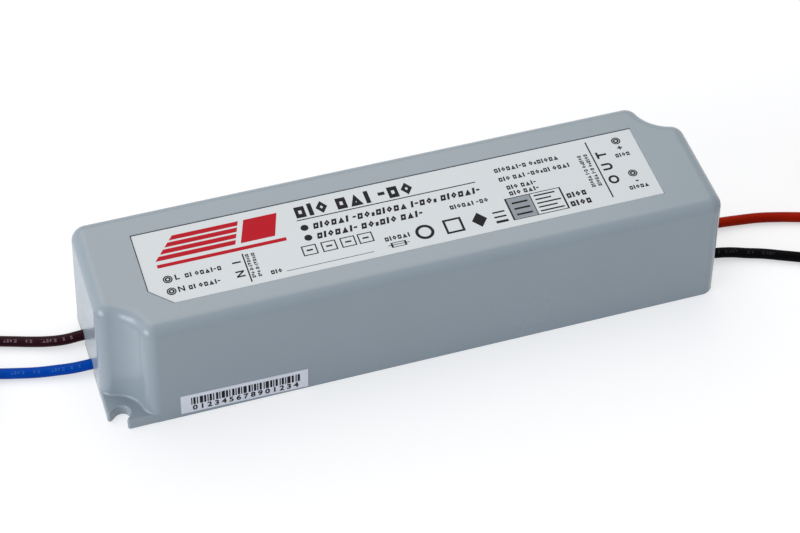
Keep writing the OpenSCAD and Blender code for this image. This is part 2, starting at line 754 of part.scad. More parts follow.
module fuse() {
    cap = 0.6;
    color([0.25, 0.22, 0.2]) {
        translate([fuse_x, fuse_y, board_top]) rotate_extrude() polygon([[0, 0], [fuse_d / 2, 0],
            [fuse_d / 2, fuse_h - cap], [fuse_d / 2 - cap, fuse_h], [0, fuse_h]]);
        pins(fuse_pins, board_top + cap);
    }
}

module inrush_limiter() {
    color([0.1, 0.1, 0.1]) disc_part(inrush_x, inrush_y, inrush_d, inrush_t, inrush_pins);
}

module surge_varistor() {
    color([0.1, 0.25, 0.6]) disc_part(varistor_x, varistor_y, varistor_d, varistor_t, varistor_pins);
}

module mains_capacitor() {
    color([0.75, 0.7, 0.2]) {
        box_part(mains_cap_x, 0, [mains_cap_t, mains_cap_l, mains_cap_h], board_top);
        pins(mains_cap_pins, board_top + pin_bed);
    }
}

module choke_core() {
    color([0.2, 0.2, 0.22]) translate([choke_x, 0, choke_z]) rotate([0, 90, 0]) rotate_extrude()
        translate([choke_id / 2, -choke_h / 2]) square([(choke_od - choke_id) / 2, choke_h]);
}

module choke_winding_line() {
    color([0.7, 0.4, 0.2]) {
        translate([choke_x, 0, choke_z]) rotate([0, 90, 0]) rotate([0, 0, 90]) choke_sector();
        pins(choke_line_pins, choke_pin_top);
    }
}

module choke_winding_neutral() {
    color([0.7, 0.4, 0.2]) {
        translate([choke_x, 0, choke_z]) rotate([0, 90, 0]) rotate([0, 0, -90]) choke_sector();
        pins(choke_neutral_pins, choke_pin_top);
    }
}

module bridge_rectifier() {
    color([0.12, 0.12, 0.12]) {
        box_part(bridge_x, 0, [bridge_t, bridge_w, bridge_h], board_top + bridge_rise);
        pins(bridge_pins, board_top + bridge_rise + pin_bed);
    }
}

module bulk_capacitor() {
    color([0.15, 0.15, 0.2]) {
        translate([bulk_x0, bulk_y, bulk_z]) rotate([0, 90, 0]) can(bulk_d, bulk_l, bulk_groove_at);
        pins(bulk_pins, bulk_z + pin_d / 2);
        for (p = bulk_pins) translate([p[0], p[1], bulk_z]) rotate([0, 90, 0])
            cylinder(d = pin_d, h = bulk_x0 - p[0] + pin_bed);
    }
}

module switch_transistor() {
    color([0.15, 0.15, 0.15]) power_device(switch_x, back_y - sink_t, -1, switch_pins);
}

module switch_heatsink() {
    color([0.75, 0.76, 0.78]) heatsink_plate(switch_x, back_y - sink_t, switch_sink_pins);
}

module controller_chip() {
    color([0.1, 0.1, 0.1]) dual_row_chip(chip_x, chip_y, chip_l, chip_w, chip_h, chip_rows, chip_pins);
}

module bleed_resistor() {
    z = board_top + resistor_rise + resistor_d / 2;
    color([0.55, 0.65, 0.75]) {
        translate([resistor_x, resistor_y, z]) rotate([90, 0, 0])
            cylinder(d = resistor_d, h = resistor_l, center = true);
        pins(resistor_pins, z + pin_d / 2);
        translate([resistor_x, resistor_y, z]) rotate([90, 0, 0])
            cylinder(d = resistor_wire_d, h = resistor_l + 2 * resistor_reach, center = true);
    }
}

module snubber_capacitor() {
    color([0.7, 0.25, 0.15]) {
        box_part(column_x, snubber_cap_y, [snubber_cap_t, snubber_cap_l, snubber_cap_h], board_top);
        pins(snubber_cap_pins, board_top + pin_bed);
    }
}

module transformer_core_left() {
    color([0.22, 0.22, 0.24]) translate([core_x, 0, core_z]) core_half();
}

module transformer_core_right() {
    color([0.22, 0.22, 0.24]) translate([core_x, 0, core_z]) rotate([0, 0, 180]) core_half();
}

module pin_rails(height) {
    for (side = [-1, 1]) translate([side * rail_x - rail_l / 2, -rail_w / 2, board_top - core_z])
        cube([rail_l, rail_w, height]);
}

// The room that the wound transformer takes up, which the resin flows round
module transformer_space() {
    translate([core_x, 0, core_z]) {
        cube([2 * core_l, core_w, core_t], center = true);
        cube([2 * flange_x, 2 * flange_w, 2 * flange_h], center = true);
        pin_rails(rail_h + 2 * core_fit);
    }
    pins(bobbin_pins, board_top + over);
}

module transformer_bobbin() {
    color([0.15, 0.15, 0.15]) {
        translate([core_x, 0, core_z]) difference() {
            union() {
                cube([2 * flange_x, 2 * bobbin_w, 2 * bobbin_h], center = true);
                for (x = [-flange_x, flange_x - bobbin_t]) translate([x, -flange_w, -flange_h])
                    cube([bobbin_t, 2 * flange_w, 2 * flange_h]);
                pin_rails(rail_h);
            }
            translate([-core_l, -core_leg / 2 - core_fit, -core_t / 2 - core_fit])
                cube([2 * core_l, core_leg + 2 * core_fit, core_t + 2 * core_fit]);
        }
        pins(bobbin_pins, board_top + pin_bed);
    }
}

module transformer_winding() {
    length = 2 * (flange_x - bobbin_t);
    color([0.85, 0.75, 0.2]) translate([core_x - length / 2, 0, core_z]) rotate([90, 0, 90])
        linear_extrude(length) difference() {
            square(2 * [bobbin_w + winding_t, bobbin_h + winding_t], center = true);
            square(2 * [bobbin_w, bobbin_h], center = true);
        }
}

module safety_capacitor() {
    color([0.15, 0.3, 0.65]) disc_part(column_x, safety_cap_y, safety_cap_d, safety_cap_t, safety_cap_pins);
}

module feedback_coupler() {
    color([0.85, 0.85, 0.82])
        dual_row_chip(column_x, coupler_y, coupler_l, coupler_w, coupler_h, coupler_rows, coupler_pins);
}

module output_diode() {
    color([0.15, 0.15, 0.15]) power_device(diode_x, front_y + sink_t, 1, diode_pins);
}

module output_heatsink() {
    color([0.75, 0.76, 0.78]) heatsink_plate(diode_x, front_y, diode_sink_pins);
}

module heatsink_screws() {
    color([0.6, 0.6, 0.62]) {
        sink_screw(switch_x, back_y - sink_t - device_t, 1);
        sink_screw(diode_x, front_y + sink_t + device_t, -1);
    }
}

module output_capacitor_front() {
    color([0.1, 0.3, 0.25]) upright_can(out_cap_left_x, out_cap_mid_y, cap_front_pins);
}

module output_capacitor_middle() {
    color([0.1, 0.3, 0.25]) upright_can(out_cap_right_x, out_cap_mid_y, cap_middle_pins);
}

module output_capacitor_back() {
    color([0.1, 0.3, 0.25]) upright_can(out_cap_right_x, out_cap_back_y, cap_back_pins);
}

module inductor_core() {
    r = inductor_d / 2;
    hub = inductor_hub_d / 2;
    upper = inductor_h - inductor_flange;
    color([0.25, 0.25, 0.27]) {
        translate([inductor_x, inductor_y, board_top]) rotate_extrude() polygon([[0, 0], [r, 0],
            [r, inductor_flange], [hub, inductor_flange], [hub, upper], [r, upper], [r, inductor_h],
            [0, inductor_h]]);
        pins(inductor_pins, board_top + inductor_flange / 2);
    }
}

module inductor_winding() {
    hub = inductor_hub_d / 2;
    color([0.7, 0.4, 0.2]) translate([inductor_x, inductor_y, board_top + inductor_flange]) rotate_extrude()
        translate([hub, 0]) square([inductor_d / 2 - inductor_wire - hub, inductor_h - 2 * inductor_flange]);
}

module input_lead_line() { color([0.18, 0.03, 0.05]) lead_tube(line_route); }
module input_lead_neutral() { color([0, 0.2, 0.65]) lead_tube(neutral_route); }
module output_lead_plus() { color([0.6, 0.1, 0.05]) lead_tube(plus_route); }
module output_lead_minus() { color([0.02, 0.02, 0.02]) lead_tube(minus_route); }
module input_coil_line() { color([0.18, 0.03, 0.05]) coil(line_route); }
module input_coil_neutral() { color([0, 0.2, 0.65]) coil(neutral_route); }
module output_coil_plus() { color([0.6, 0.1, 0.05]) coil(plus_route); }
module output_coil_minus() { color([0.02, 0.02, 0.02]) coil(minus_route); }
module input_end_line() { color([0.8, 0.8, 0.8]) bare_end(line_route); }
module input_end_neutral() { color([0.8, 0.8, 0.8]) bare_end(neutral_route); }
module output_end_plus() { color([0.8, 0.8, 0.8]) bare_end(plus_route); }
module output_end_minus() { color([0.8, 0.8, 0.8]) bare_end(minus_route); }

// Everything that the resin flows round on the board
module parts_on_board() {
    fuse();
    inrush_limiter();
    surge_varistor();
    mains_capacitor();
    choke_core();
    choke_winding_line();
    choke_winding_neutral();
    bridge_rectifier();
    bulk_capacitor();
    switch_transistor();
    switch_heatsink();
    controller_chip();
    bleed_resistor();
    snubber_capacitor();
    transformer_space();
    safety_capacitor();
    feedback_coupler();
    output_diode();
    output_heatsink();
    heatsink_screws();
    output_capacitor_front();
    output_capacitor_middle();
    output_capacitor_back();
    inductor_core();
    inductor_winding();
}

housing();
potting();
rating_label();
serial_sticker();
circuit_board();
fuse();
inrush_limiter();
surge_varistor();
mains_capacitor();
choke_core();
choke_winding_line();
choke_winding_neutral();
bridge_rectifier();
bulk_capacitor();
switch_transistor();
switch_heatsink();
controller_chip();
bleed_resistor();
snubber_capacitor();
transformer_core_left();
transformer_core_right();
transformer_bobbin();
transformer_winding();
safety_capacitor();
feedback_coupler();
output_diode();
output_heatsink();
heatsink_screws();
output_capacitor_front();
output_capacitor_middle();
output_capacitor_back();
inductor_core();
inductor_winding();
input_lead_line();
input_lead_neutral();
output_lead_plus();
output_lead_minus();
input_coil_line();
input_coil_neutral();
output_coil_plus();
output_coil_minus();
input_end_line();
input_end_neutral();
output_end_plus();
output_end_minus();
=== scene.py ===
import itertools
import json
import math

import bmesh
import bpy
from mathutils import Matrix, Vector


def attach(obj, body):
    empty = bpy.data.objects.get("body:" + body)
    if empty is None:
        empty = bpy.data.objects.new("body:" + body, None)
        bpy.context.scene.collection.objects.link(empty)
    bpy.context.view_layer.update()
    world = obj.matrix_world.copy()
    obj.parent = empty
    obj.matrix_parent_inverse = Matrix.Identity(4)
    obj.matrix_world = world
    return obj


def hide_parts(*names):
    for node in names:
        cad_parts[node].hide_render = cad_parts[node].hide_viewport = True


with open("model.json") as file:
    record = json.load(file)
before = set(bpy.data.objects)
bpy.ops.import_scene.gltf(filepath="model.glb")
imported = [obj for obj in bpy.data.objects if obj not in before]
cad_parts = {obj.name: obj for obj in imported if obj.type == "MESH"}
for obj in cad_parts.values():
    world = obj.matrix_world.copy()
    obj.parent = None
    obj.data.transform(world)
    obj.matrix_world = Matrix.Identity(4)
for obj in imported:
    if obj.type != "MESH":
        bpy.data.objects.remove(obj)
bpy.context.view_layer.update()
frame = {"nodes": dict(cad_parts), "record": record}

MM = 0.001
UP = Vector((0, 0, 1))

# Sizes of the part's source in millimetres, and angles in radians
HOUSING_L, HOUSING_W, HOUSING_H = 162.5, 42.5, 33.5
HALF_L, HALF_W = HOUSING_L / 2, HOUSING_W / 2
WALL, TOP_WALL = 2.0, 2.2
DRAFT = math.radians(1.8)
EDGE_R, TOP_R = 3.8, 3.4
SCOOP_R, SCOOP_INSET, SCOOP_DRAFT = 8.4, 1.1, math.radians(2)
FOOT_H, FOOT_FILLET = 3.0, 0.6
SLOT_R, SLOT_INSET_L, SLOT_INSET_W, SLOT_FLARE = 2.1, 3.6, 3.2, 1.6
LABEL_L, LABEL_W, LABEL_Y, LABEL_CUT = 132.6, 24.0, -0.5, 5.2
LABEL_RECESS, LABEL_T, LABEL_CLEAR = 0.4, 0.2, 0.2
LABEL_TOP = HOUSING_H - LABEL_RECESS + LABEL_T
STICKER_X, STICKER_Z, STICKER_T, STICKER_TILT = 18.0, 1.2, 0.12, math.radians(-1)
LEAD_D, LEAD_Z, LEAD_PITCH, LEAD_CLEAR, LEAD_L = 2.8, 2.3, 10.0, 0.15, 200.0
COIL_R, BARE_L, CONDUCTOR_D = 14.0, 7.0, 1.2


# Making objects and meshes

def put_in_scene(name, data):
    """A new object with its data, linked to the scene."""
    item = bpy.data.objects.new(name, data)
    bpy.context.scene.collection.objects.link(item)
    return item


def dress(data, material):
    """Give mesh or curve data one material."""
    data.materials.clear()
    data.materials.append(material)


def add_piece(name, data, material):
    """A visual piece made of mesh or curve data, riding on the one body."""
    piece = put_in_scene(name, data)
    dress(data, material)
    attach(piece, "root")
    return piece


def final_mesh(item):
    """The mesh that an object's modifiers or curve settings make."""
    bpy.context.view_layer.update()
    return bpy.data.meshes.new_from_object(item.evaluated_get(bpy.context.evaluated_depsgraph_get()))


def mesh_of(name, vertices, faces):
    """A mesh in metres from points in millimetres."""
    data = bpy.data.meshes.new(name)
    data.from_pydata([Vector(v) * MM for v in vertices], [], faces)
    data.validate()
    data.update()
    return data


def weld_points(bm, distance):
    """Join points that lie closer together than a distance."""
    bmesh.ops.remove_doubles(bm, verts=bm.verts, dist=distance)
    bmesh.ops.dissolve_degenerate(bm, edges=bm.edges, dist=distance)


def strip(first, second):
    """Faces between two closed loops of equally many points."""
    count = len(first)
    return [(first[i], first[(i + 1) % count], second[(i + 1) % count], second[i]) for i in range(count)]


def loft(name, rings):
    """A closed solid through outlines of equally many points."""
    count = len(rings[0])
    numbers = [list(range(level * count, (level + 1) * count)) for level in range(len(rings))]
    faces = [numbers[0][::-1], numbers[-1]]
    for low, high in zip(numbers, numbers[1:]):
        faces += strip(low, high)
    return mesh_of(name, [p for r in rings for p in r], faces)


def arc(centre, radius, first, last, steps):
    """Points of an arc from one angle to another, in degrees."""
    turns = [math.radians(first + (last - first) * i / steps) for i in range(steps + 1)]
    return [(centre[0] + radius * math.cos(t), centre[1] + radius * math.sin(t)) for t in turns]


def quarter_turn(steps):
    """The angles of a quarter turn in equal steps."""
    return [math.pi / 2 * i / steps for i in range(steps + 1)]


def rectangle(x, y, length, height):
    return [(x, y), (x + length, y), (x + length, y + height), (x, y + height)]


# Camera: angles in degrees, place in millimetres, focal length in pixels of the photograph

CAM_AZIMUTH, CAM_ELEVATION, CAM_ROLL = -19.041, 48.372, 1.779
CAM_PLACE = (-124.814, -362.925, 445.072)
CAM_FOCAL_PX, PHOTO_W_PX, SENSOR_MM = 2245.308, 800, 36.0
# Nearest distance that the camera shows, in metres
CAM_NEAR = 0.01


def make_camera():
    azimuth, elevation, roll = (math.radians(a) for a in (CAM_AZIMUTH, CAM_ELEVATION, CAM_ROLL))
    flat = math.cos(elevation)
    back = Vector((math.sin(azimuth) * flat, -math.cos(azimuth) * flat, math.sin(elevation)))
    right = UP.cross(back).normalized()
    up = back.cross(right)
    across = right * math.cos(roll) + up * math.sin(roll)
    upward = up * math.cos(roll) - right * math.sin(roll)
    data = bpy.data.cameras.new("camera")
    data.sensor_fit = "HORIZONTAL"
    data.sensor_width = SENSOR_MM
    data.lens = CAM_FOCAL_PX * SENSOR_MM / PHOTO_W_PX
    data.clip_start = CAM_NEAR
    camera = put_in_scene("camera", data)
    turn = Matrix((across, upward, back)).transposed().to_4x4()
    camera.matrix_world = Matrix.Translation(Vector(CAM_PLACE) * MM) @ turn
    bpy.context.scene.camera = camera


# Materials

# The range that most values of a noise lie in, and the layers of detail in patches and in grain
NOISE_LOW, NOISE_HIGH = 0.3, 0.7
PATCH_DETAIL, GRAIN_DETAIL = 4.0, 2.0
EVEN = (1, 1, 1)


def srgb(red, green, blue):
    """A display colour of 0 to 255 as the linear colour that a shader takes, by the sRGB formula."""
    def linear(value):
        value /= 255
        return value / 12.92 if value <= 0.04045 else ((value + 0.055) / 1.055) ** 2.4
    return (linear(red), linear(green), linear(blue), 1.0)


class Shader:
    """One procedural material with its node tree."""

    def __init__(self, name):
        self.material = bpy.data.materials.new(name)
        self.material.use_nodes = True
        self.nodes = self.material.node_tree.nodes
        self.links = self.material.node_tree.links
        self.surface = self.nodes["Principled BSDF"]
        self.place = self.nodes.new("ShaderNodeTexCoord").outputs["Object"]

    def noise(self, scale, detail, stretch=EVEN):
        mapping = self.nodes.new("ShaderNodeMapping")
        mapping.inputs["Scale"].default_value = stretch
        self.links.new(self.place, mapping.inputs["Vector"])
        texture = self.nodes.new("ShaderNodeTexNoise")
        texture.inputs["Scale"].default_value = scale
        texture.inputs["Detail"].default_value = detail
        self.links.new(mapping.outputs["Vector"], texture.inputs["Vector"])
        return texture.outputs["Fac"]

    def spread(self, value, low, high):
        """A noise value brought to a range of its own."""
        node = self.nodes.new("ShaderNodeMapRange")
        node.inputs["From Min"].default_value = NOISE_LOW
        node.inputs["From Max"].default_value = NOISE_HIGH
        node.inputs["To Min"].default_value = low
        node.inputs["To Max"].default_value = high
        self.links.new(value, node.inputs["Value"])
        return node.outputs["Result"]

    def tint(self, colour, value, change):
        """A base colour that gets lighter and darker with a noise value."""
        node = self.nodes.new("ShaderNodeMix")
        node.data_type = "RGBA"
        node.inputs["A"].default_value = [c * (1 - change) for c in colour[:3]] + [1]
        node.inputs["B"].default_value = [min(1, c * (1 + change)) for c in colour[:3]] + [1]
        self.links.new(self.spread(value, 0, 1), node.inputs["Factor"])
        self.links.new(node.outputs["Result"], self.surface.inputs["Base Color"])

    def bump(self, value, depth, strength):
        node = self.nodes.new("ShaderNodeBump")
        node.inputs["Strength"].default_value = strength
        node.inputs["Distance"].default_value = depth
        self.links.new(value, node.inputs["Height"])
        self.links.new(node.outputs["Normal"], self.surface.inputs["Normal"])


def finish_of(name, colour, rough, change, patch, grain, rough_change=0.05, grain_depth=0.00002,
              grain_strength=0.15, metallic=0.0, stretch=EVEN, shine=0.5):
    """A material whose colour and roughness change over patches, with a fine grain as bump.

    The colour is a display colour, patch and grain are noise scales to a metre, and depth is in metres.
    """
    shader = Shader(name)
    patches = shader.noise(patch, PATCH_DETAIL)
    fine = shader.noise(grain, GRAIN_DETAIL, stretch)
    shader.tint(srgb(*colour), patches, change)
    roughness = shader.spread(patches, rough - rough_change, rough + rough_change)
    shader.links.new(roughness, shader.surface.inputs["Roughness"])
    shader.bump(fine, grain_depth, grain_strength)
    shader.surface.inputs["Metallic"].default_value = metallic
    shader.surface.inputs["Specular IOR Level"].default_value = shine
    return shader.material


INSULATION = dict(rough=0.3, change=0.08, patch=160, grain=900, grain_depth=0.00006, grain_strength=0.2)
LOOKS = {
    "housing_plastic": dict(colour=(149, 161, 168), rough=0.25, rough_change=0.03, change=0.015, patch=45,
                            grain=2600, grain_depth=0.00001, grain_strength=0.08),
    "resin": dict(colour=(82, 86, 90), rough=0.42, rough_change=0.1, change=0.08, patch=120, grain=700,
                  grain_depth=0.0001, grain_strength=0.3),
    "label_foil": dict(colour=(217, 222, 223), rough=0.42, rough_change=0.03, change=0.012, patch=40,
                       grain=1800, grain_strength=0.06),
    "sticker_paper": dict(colour=(232, 234, 241), rough=0.55, rough_change=0.04, change=0.01, patch=80,
                          grain=3000, grain_strength=0.08),
    "board_laminate": dict(colour=(36, 92, 58), rough=0.45, change=0.06, patch=200, grain=1800),
    "black_epoxy": dict(colour=(28, 28, 30), rough=0.5, rough_change=0.06, change=0.15, patch=200,
                        grain=2000),
    "blue_epoxy": dict(colour=(28, 72, 150), rough=0.35, change=0.08, patch=150, grain=900),
    "yellow_plastic": dict(colour=(214, 180, 40), rough=0.42, change=0.05, patch=150, grain=1500),
    "white_plastic": dict(colour=(226, 226, 220), rough=0.45, change=0.03, patch=150, grain=1500),
    "red_plastic": dict(colour=(160, 52, 30), rough=0.38, change=0.07, patch=150, grain=1200),
    "ferrite": dict(colour=(48, 48, 50), rough=0.6, change=0.14, patch=400, grain=1500, grain_depth=0.00006,
                    grain_strength=0.3),
    "copper_wire": dict(colour=(176, 92, 44), rough=0.32, change=0.08, patch=300, grain=2200,
                        grain_depth=0.00005, grain_strength=0.3, metallic=0.9),
    "capacitor_sleeve": dict(colour=(34, 40, 58), rough=0.35, change=0.08, patch=120, grain=900),
    "resistor_ceramic": dict(colour=(132, 158, 178), rough=0.5, change=0.06, patch=300, grain=1600),
    "heatsink_aluminium": dict(colour=(190, 192, 196), rough=0.36, rough_change=0.06, change=0.05, patch=90,
                               grain=1800, grain_strength=0.2, metallic=1.0, stretch=(0.05, 1, 1)),
    "screw_steel": dict(colour=(176, 178, 180), rough=0.3, change=0.05, patch=300, grain=2000,
                        grain_strength=0.2, metallic=1.0),
    "brown_insulation": dict(INSULATION, colour=(42, 9, 19), shine=0.06),
    "blue_insulation": dict(INSULATION, colour=(0, 68, 166), shine=0.04),
    "red_insulation": dict(INSULATION, colour=(164, 28, 6), shine=0.04),
    "black_insulation": dict(INSULATION, colour=(5, 5, 7), shine=0.03),
    "tinned_copper": dict(colour=(196, 196, 192), rough=0.28, change=0.06, patch=400, grain=2200,
                          grain_depth=0.00003, grain_strength=0.2, metallic=1.0),
}
FINISH = {slot: finish_of(slot, **look) for slot, look in LOOKS.items()}

INK = dict(rough=0.5, rough_change=0.04, change=0.05, patch=300, grain=2500, shine=0.1)
DARK_INK = finish_of("dark_ink", (26, 26, 30), **dict(INK, change=0.1))
RED_INK = finish_of("red_ink", (190, 16, 34), **dict(INK, rough=0.45))
GREY_INK = finish_of("grey_ink", (150, 156, 162), **dict(INK, change=0.04, shine=0.2))
LEAD_INKS = {
    "brown_insulation": finish_of("brown_lead_ink", (120, 98, 108), **INK),
    "blue_insulation": finish_of("blue_lead_ink", (46, 94, 176), **INK),
    "black_insulation": finish_of("black_lead_ink", (36, 36, 40), **INK),
}
NYLON = finish_of("tie_nylon", (214, 212, 204), rough=0.4, change=0.03, patch=200, grain=1500)


# Print, in millimetres

# Ink lies in the face that it is printed on by one depth and stands above it by a height for each ink
INK_DEPTH = 0.01
GREY_INK_H, RED_INK_H, DARK_INK_H = 0.01, 0.015, 0.02
DISC_STEPS, RING_STEPS = 32, 36
# The smallest hole that a closed line leaves, as a share of its outline
LEAST_HOLE = 0.05

# Plain figures in the order in which they follow each other, and those that are drawn as a closed line
FIGURES = ("box", "post", "diamond", "box", "triangle", "post", "dash", "box", "diamond", "block")
OPEN_FIGURES = ("box", "diamond", "triangle")
# Widths, heights and gaps as shares of the line's height
FIGURE_W = {"box": 0.62, "diamond": 0.72, "triangle": 0.78, "dash": 0.42, "block": 0.36}
BOX_H, TRIANGLE_H, BLOCK_H, DASH_Y = 0.9, 0.95, 0.6, 0.4
FIGURE_GAP, GROUP_GAP = 0.2, 0.35
# Width of a post and thickness of a dash, as shares of the stroke
POST_W, DASH_T = 1.3, 1.2
# Weights of the strokes, as shares of the line's height
PLAIN, BOLD, TITLE = 0.2, 0.22, 0.21

# Font size for a letter of height 1, how far its strokes grow to each side, and the gap that its points close
FONT_SHARE, LETTER_BOLD, LETTER_WELD = 1.37, 0.05, 0.002
# Faces of a letter whose normal is flatter than this are its side walls
WALL_SLOPE = 0.5


def inner_edge(points, width):
    """The inner edge of a closed line of a set width along a convex outline."""
    centre = Vector((sum(p[0] for p in points), sum(p[1] for p in points))) / len(points)
    pairs = [(Vector(points[i - 1]), Vector(points[i])) for i in range(len(points))]
    near = min(abs((b - a).normalized().cross(centre - a)) for a, b in pairs)
    return [centre + (Vector(p) - centre) * max(LEAST_HOLE, 1 - width / near) for p in points]


def figure(kind, height, stroke):
    """A plain figure's width, its outline, and the inner edge of its line where it is open."""
    width = POST_W * stroke if kind == "post" else FIGURE_W[kind] * height
    middle = width / 2
    outlines = {
        "box": rectangle(0, 0, width, BOX_H * height),
        "post": rectangle(0, 0, width, height),
        "diamond": [(middle, 0), (width, height / 2), (middle, height), (0, height / 2)],
        "triangle": [(0, 0), (width, 0), (middle, TRIANGLE_H * height)],
        "dash": rectangle(0, DASH_Y * height, width, DASH_T * stroke),
        "block": rectangle(0, 0, width, BLOCK_H * height),
    }
    outer = outlines[kind]
    inner = inner_edge(outer, stroke) if kind in OPEN_FIGURES else []
    return width, outer, inner


class Print:
    """Flat shapes, laid on a face as one piece of thin closed solids."""

    def __init__(self, height, depth=INK_DEPTH):
        self.height = height
        self.depth = depth
        self.shapes = []

    def polygon(self, outer, inner=()):
        """A filled outline, with a hole where an inner outline of as many points is given."""
        self.shapes.append(([Vector(p) for p in outer], [Vector(p) for p in inner]))

    def bar(self, x, y, length, height):
        self.polygon(rectangle(x, y, length, height))

    def open_bar(self, x, y, length, height, width):
        """A bar drawn as a closed line of a set width."""
        corners = rectangle(x, y, length, height)
        self.polygon(corners, inner_edge(corners, width))

    def disc(self, x, y, radius):
        self.polygon(arc((x, y), radius, 0, 360, DISC_STEPS)[:-1])

    def ring(self, x, y, outer, inner):
        self.polygon(*(arc((x, y), radius, 0, 360, RING_STEPS)[:-1] for radius in (outer, inner)))

    def line(self, a, b, width):
        """A straight line whose left side runs to b from half a width past a, where another line may end."""
        a, b = Vector(a), Vector(b)
        heading = (b - a).normalized()
        a += heading * width / 2
        across = heading.orthogonal() * -width
        self.polygon([a, b, b + across, a + across])

    def words(self, x, y, height, groups, weight=PLAIN, slant=0.0, turn=0):
        """A line of small plain figures in groups."""
        start, tilt = Vector((x, y)), Matrix.Rotation(math.radians(turn), 2)
        kinds = itertools.cycle(FIGURES)
        pen = 0.0
        for count in groups:
            for kind in itertools.islice(kinds, count):
                width, outer, inner = figure(kind, height, weight * height)
                self.polygon(*([start + tilt @ Vector((pen + px + slant * py, py)) for px, py in loop]
                               for loop in (outer, inner)))
                pen += width + FIGURE_GAP * height
            pen += GROUP_GAP * height

    def lay(self, name, material, slot, place):
        """The shapes as thin closed solids on a face, with place to give each point its spot there."""
        vertices, faces = [], []
        for outer, inner in self.shapes:
            if sum(a.cross(b) for a, b in zip(outer, outer[1:] + outer[:1])) < 0:
                outer, inner = outer[::-1], inner[::-1]
            low, high = -self.depth, self.height
            loops = []
            for points, z in ((inner, low), (outer, low), (outer, high), (inner, high)):
                loops.append([len(vertices) + i for i in range(len(points))])
                vertices += [place(Vector((p.x, p.y, z))) for p in points]
            if inner:
                for a, b in zip(loops, loops[1:] + loops[:1]):
                    faces += strip(a, b)
            else:
                bottom, top = loops[1], loops[2]
                faces += [bottom[::-1], top] + strip(bottom, top)
        return add_piece(name, mesh_of(name, vertices, faces), material)


def on_plane(matrix):
    """The way that a matrix places a spot of a flat drawing."""
    return lambda spot: matrix @ spot


def embolden(data, distance):
    """Weld a text's mesh and move its side walls outwards."""
    bm = bmesh.new()
    bm.from_mesh(data)
    weld_points(bm, LETTER_WELD)
    bm.normal_update()
    moves = []
    for vertex in bm.verts:
        walls = [f.normal for f in vertex.link_faces if abs(f.normal.z) < WALL_SLOPE]
        side = sum(walls, Vector((0, 0, 0)))
        moves.append((vertex, side * 2 * distance / max(side.length_squared, 1)))
    for vertex, move in moves:
        vertex.co += move
    bm.to_mesh(data)
    bm.free()


def lettering(name, texts, material, matrix):
    """Plain letters and signs as one thin piece, from texts with their middle, height and turn."""
    vertices, faces = [], []
    for text, x, y, height, turn in texts:
        data = bpy.data.curves.new("text", "FONT")
        data.body = text
        data.size = height * FONT_SHARE
        data.extrude = (DARK_INK_H + INK_DEPTH) / 2
        data.align_x = "CENTER"
        data.align_y = "CENTER"
        helper = put_in_scene("text", data)
        flat = final_mesh(helper)
        bpy.data.objects.remove(helper)
        embolden(flat, LETTER_BOLD * height)
        place = (matrix @ Matrix.Translation((x, y, (DARK_INK_H - INK_DEPTH) / 2))
                 @ Matrix.Rotation(math.radians(turn), 4, "Z"))
        base = len(vertices)
        vertices += [tuple(place @ v.co) for v in flat.vertices]
        faces += [tuple(base + i for i in face.vertices) for face in flat.polygons]
    return add_piece(name, mesh_of(name, vertices, faces), material)


# Leads, with routes in millimetres from inside the wall to the start of the coil

LINE_ROUTE = [
    (-78, 10, 2.4), (-82, 10, 2.3), (-86, 10.1, 2), (-90, 10.9, 1.7), (-94, 12.2, 1.4), (-98, 13.5, 1.4),
    (-102, 14.8, 1.4), (-110, 17.4, 1.4), (-118, 19.7, 1.4), (-126, 21.6, 1.4), (-134, 23.1, 1.5),
    (-139.6, 24, 1.7), (-145.2, 24.8, 1.9)]
NEUTRAL_ROUTE = [
    (-78, 0, 2.4), (-82, 0, 2.3), (-86, 0.3, 2), (-90, 1, 1.7), (-95, 2, 1.4), (-100, 3.2, 1.4),
    (-104, 4.2, 1.5), (-108.6, 5.6, 1.7), (-113.2, 7, 1.9)]
PLUS_ROUTE = [
    (78, 0, 2.4), (82, 0, 2.3), (87, 0, 2), (92, -0.1, 1.6), (97, -0.5, 1.4), (102, -1.2, 1.4),
    (107, -2.4, 1.4), (112, -3.9, 1.4), (116, -5.3, 1.5), (120, -6.7, 1.7), (124.5, -8.1, 1.9)]
MINUS_ROUTE = [
    (78, -10, 2.4), (82, -10, 2.3), (86, -10.3, 2), (90, -11, 1.7), (94, -12.2, 1.4), (98, -13.6, 1.4),
    (103, -15.8, 1.4), (108, -18, 1.4), (114, -20.4, 1.4), (122, -22.9, 1.4), (130, -24.6, 1.4),
    (140, -25.8, 1.4), (148, -26, 1.6), (155, -25.9, 1.8), (162, -25.5, 1.9)]
OUTER_R, INNER_R = COIL_R + LEAD_D / 2, COIL_R - LEAD_D / 2
# In degrees: where the outer turn starts to step inwards, how long that takes, and the points' spacing
STEP_START, STEP_ANGLE, COIL_STEP = 300, 60, 15
# The straight stretch before the coil, long enough to clear the turn that it passes
LEAD_IN_SPARE = 1.0
LEAD_IN = math.sqrt(2 * OUTER_R * LEAD_D) + LEAD_IN_SPARE
# Steps between two points of a curve, and settings for how finely round its section is
CURVE_STEPS, LEAD_ROUND, STRAND_ROUND = 6, 6, 2
# Strands of the bare end: number, radius, length of one twist, steps along each
STRANDS, STRAND_R, STRAND_LAY, STRAND_STEPS = 7, 0.2, 5.0, 12
# The tie: its place on the coil in degrees, the band's width and thickness, its gap to the wires
TIE_ANGLE, TIE_W, TIE_T, TIE_GAP = 30, 2.4, 0.4, 0.05
TIE_CORNER_R, TIE_CORNER_STEPS = 0.9, 4
TIE_HEAD_L, TIE_HEAD_W, TIE_HEAD_H = 2.6, 3.2, 1.5
TIE_EASE, TIE_EASE_STEPS = 0.15, 2
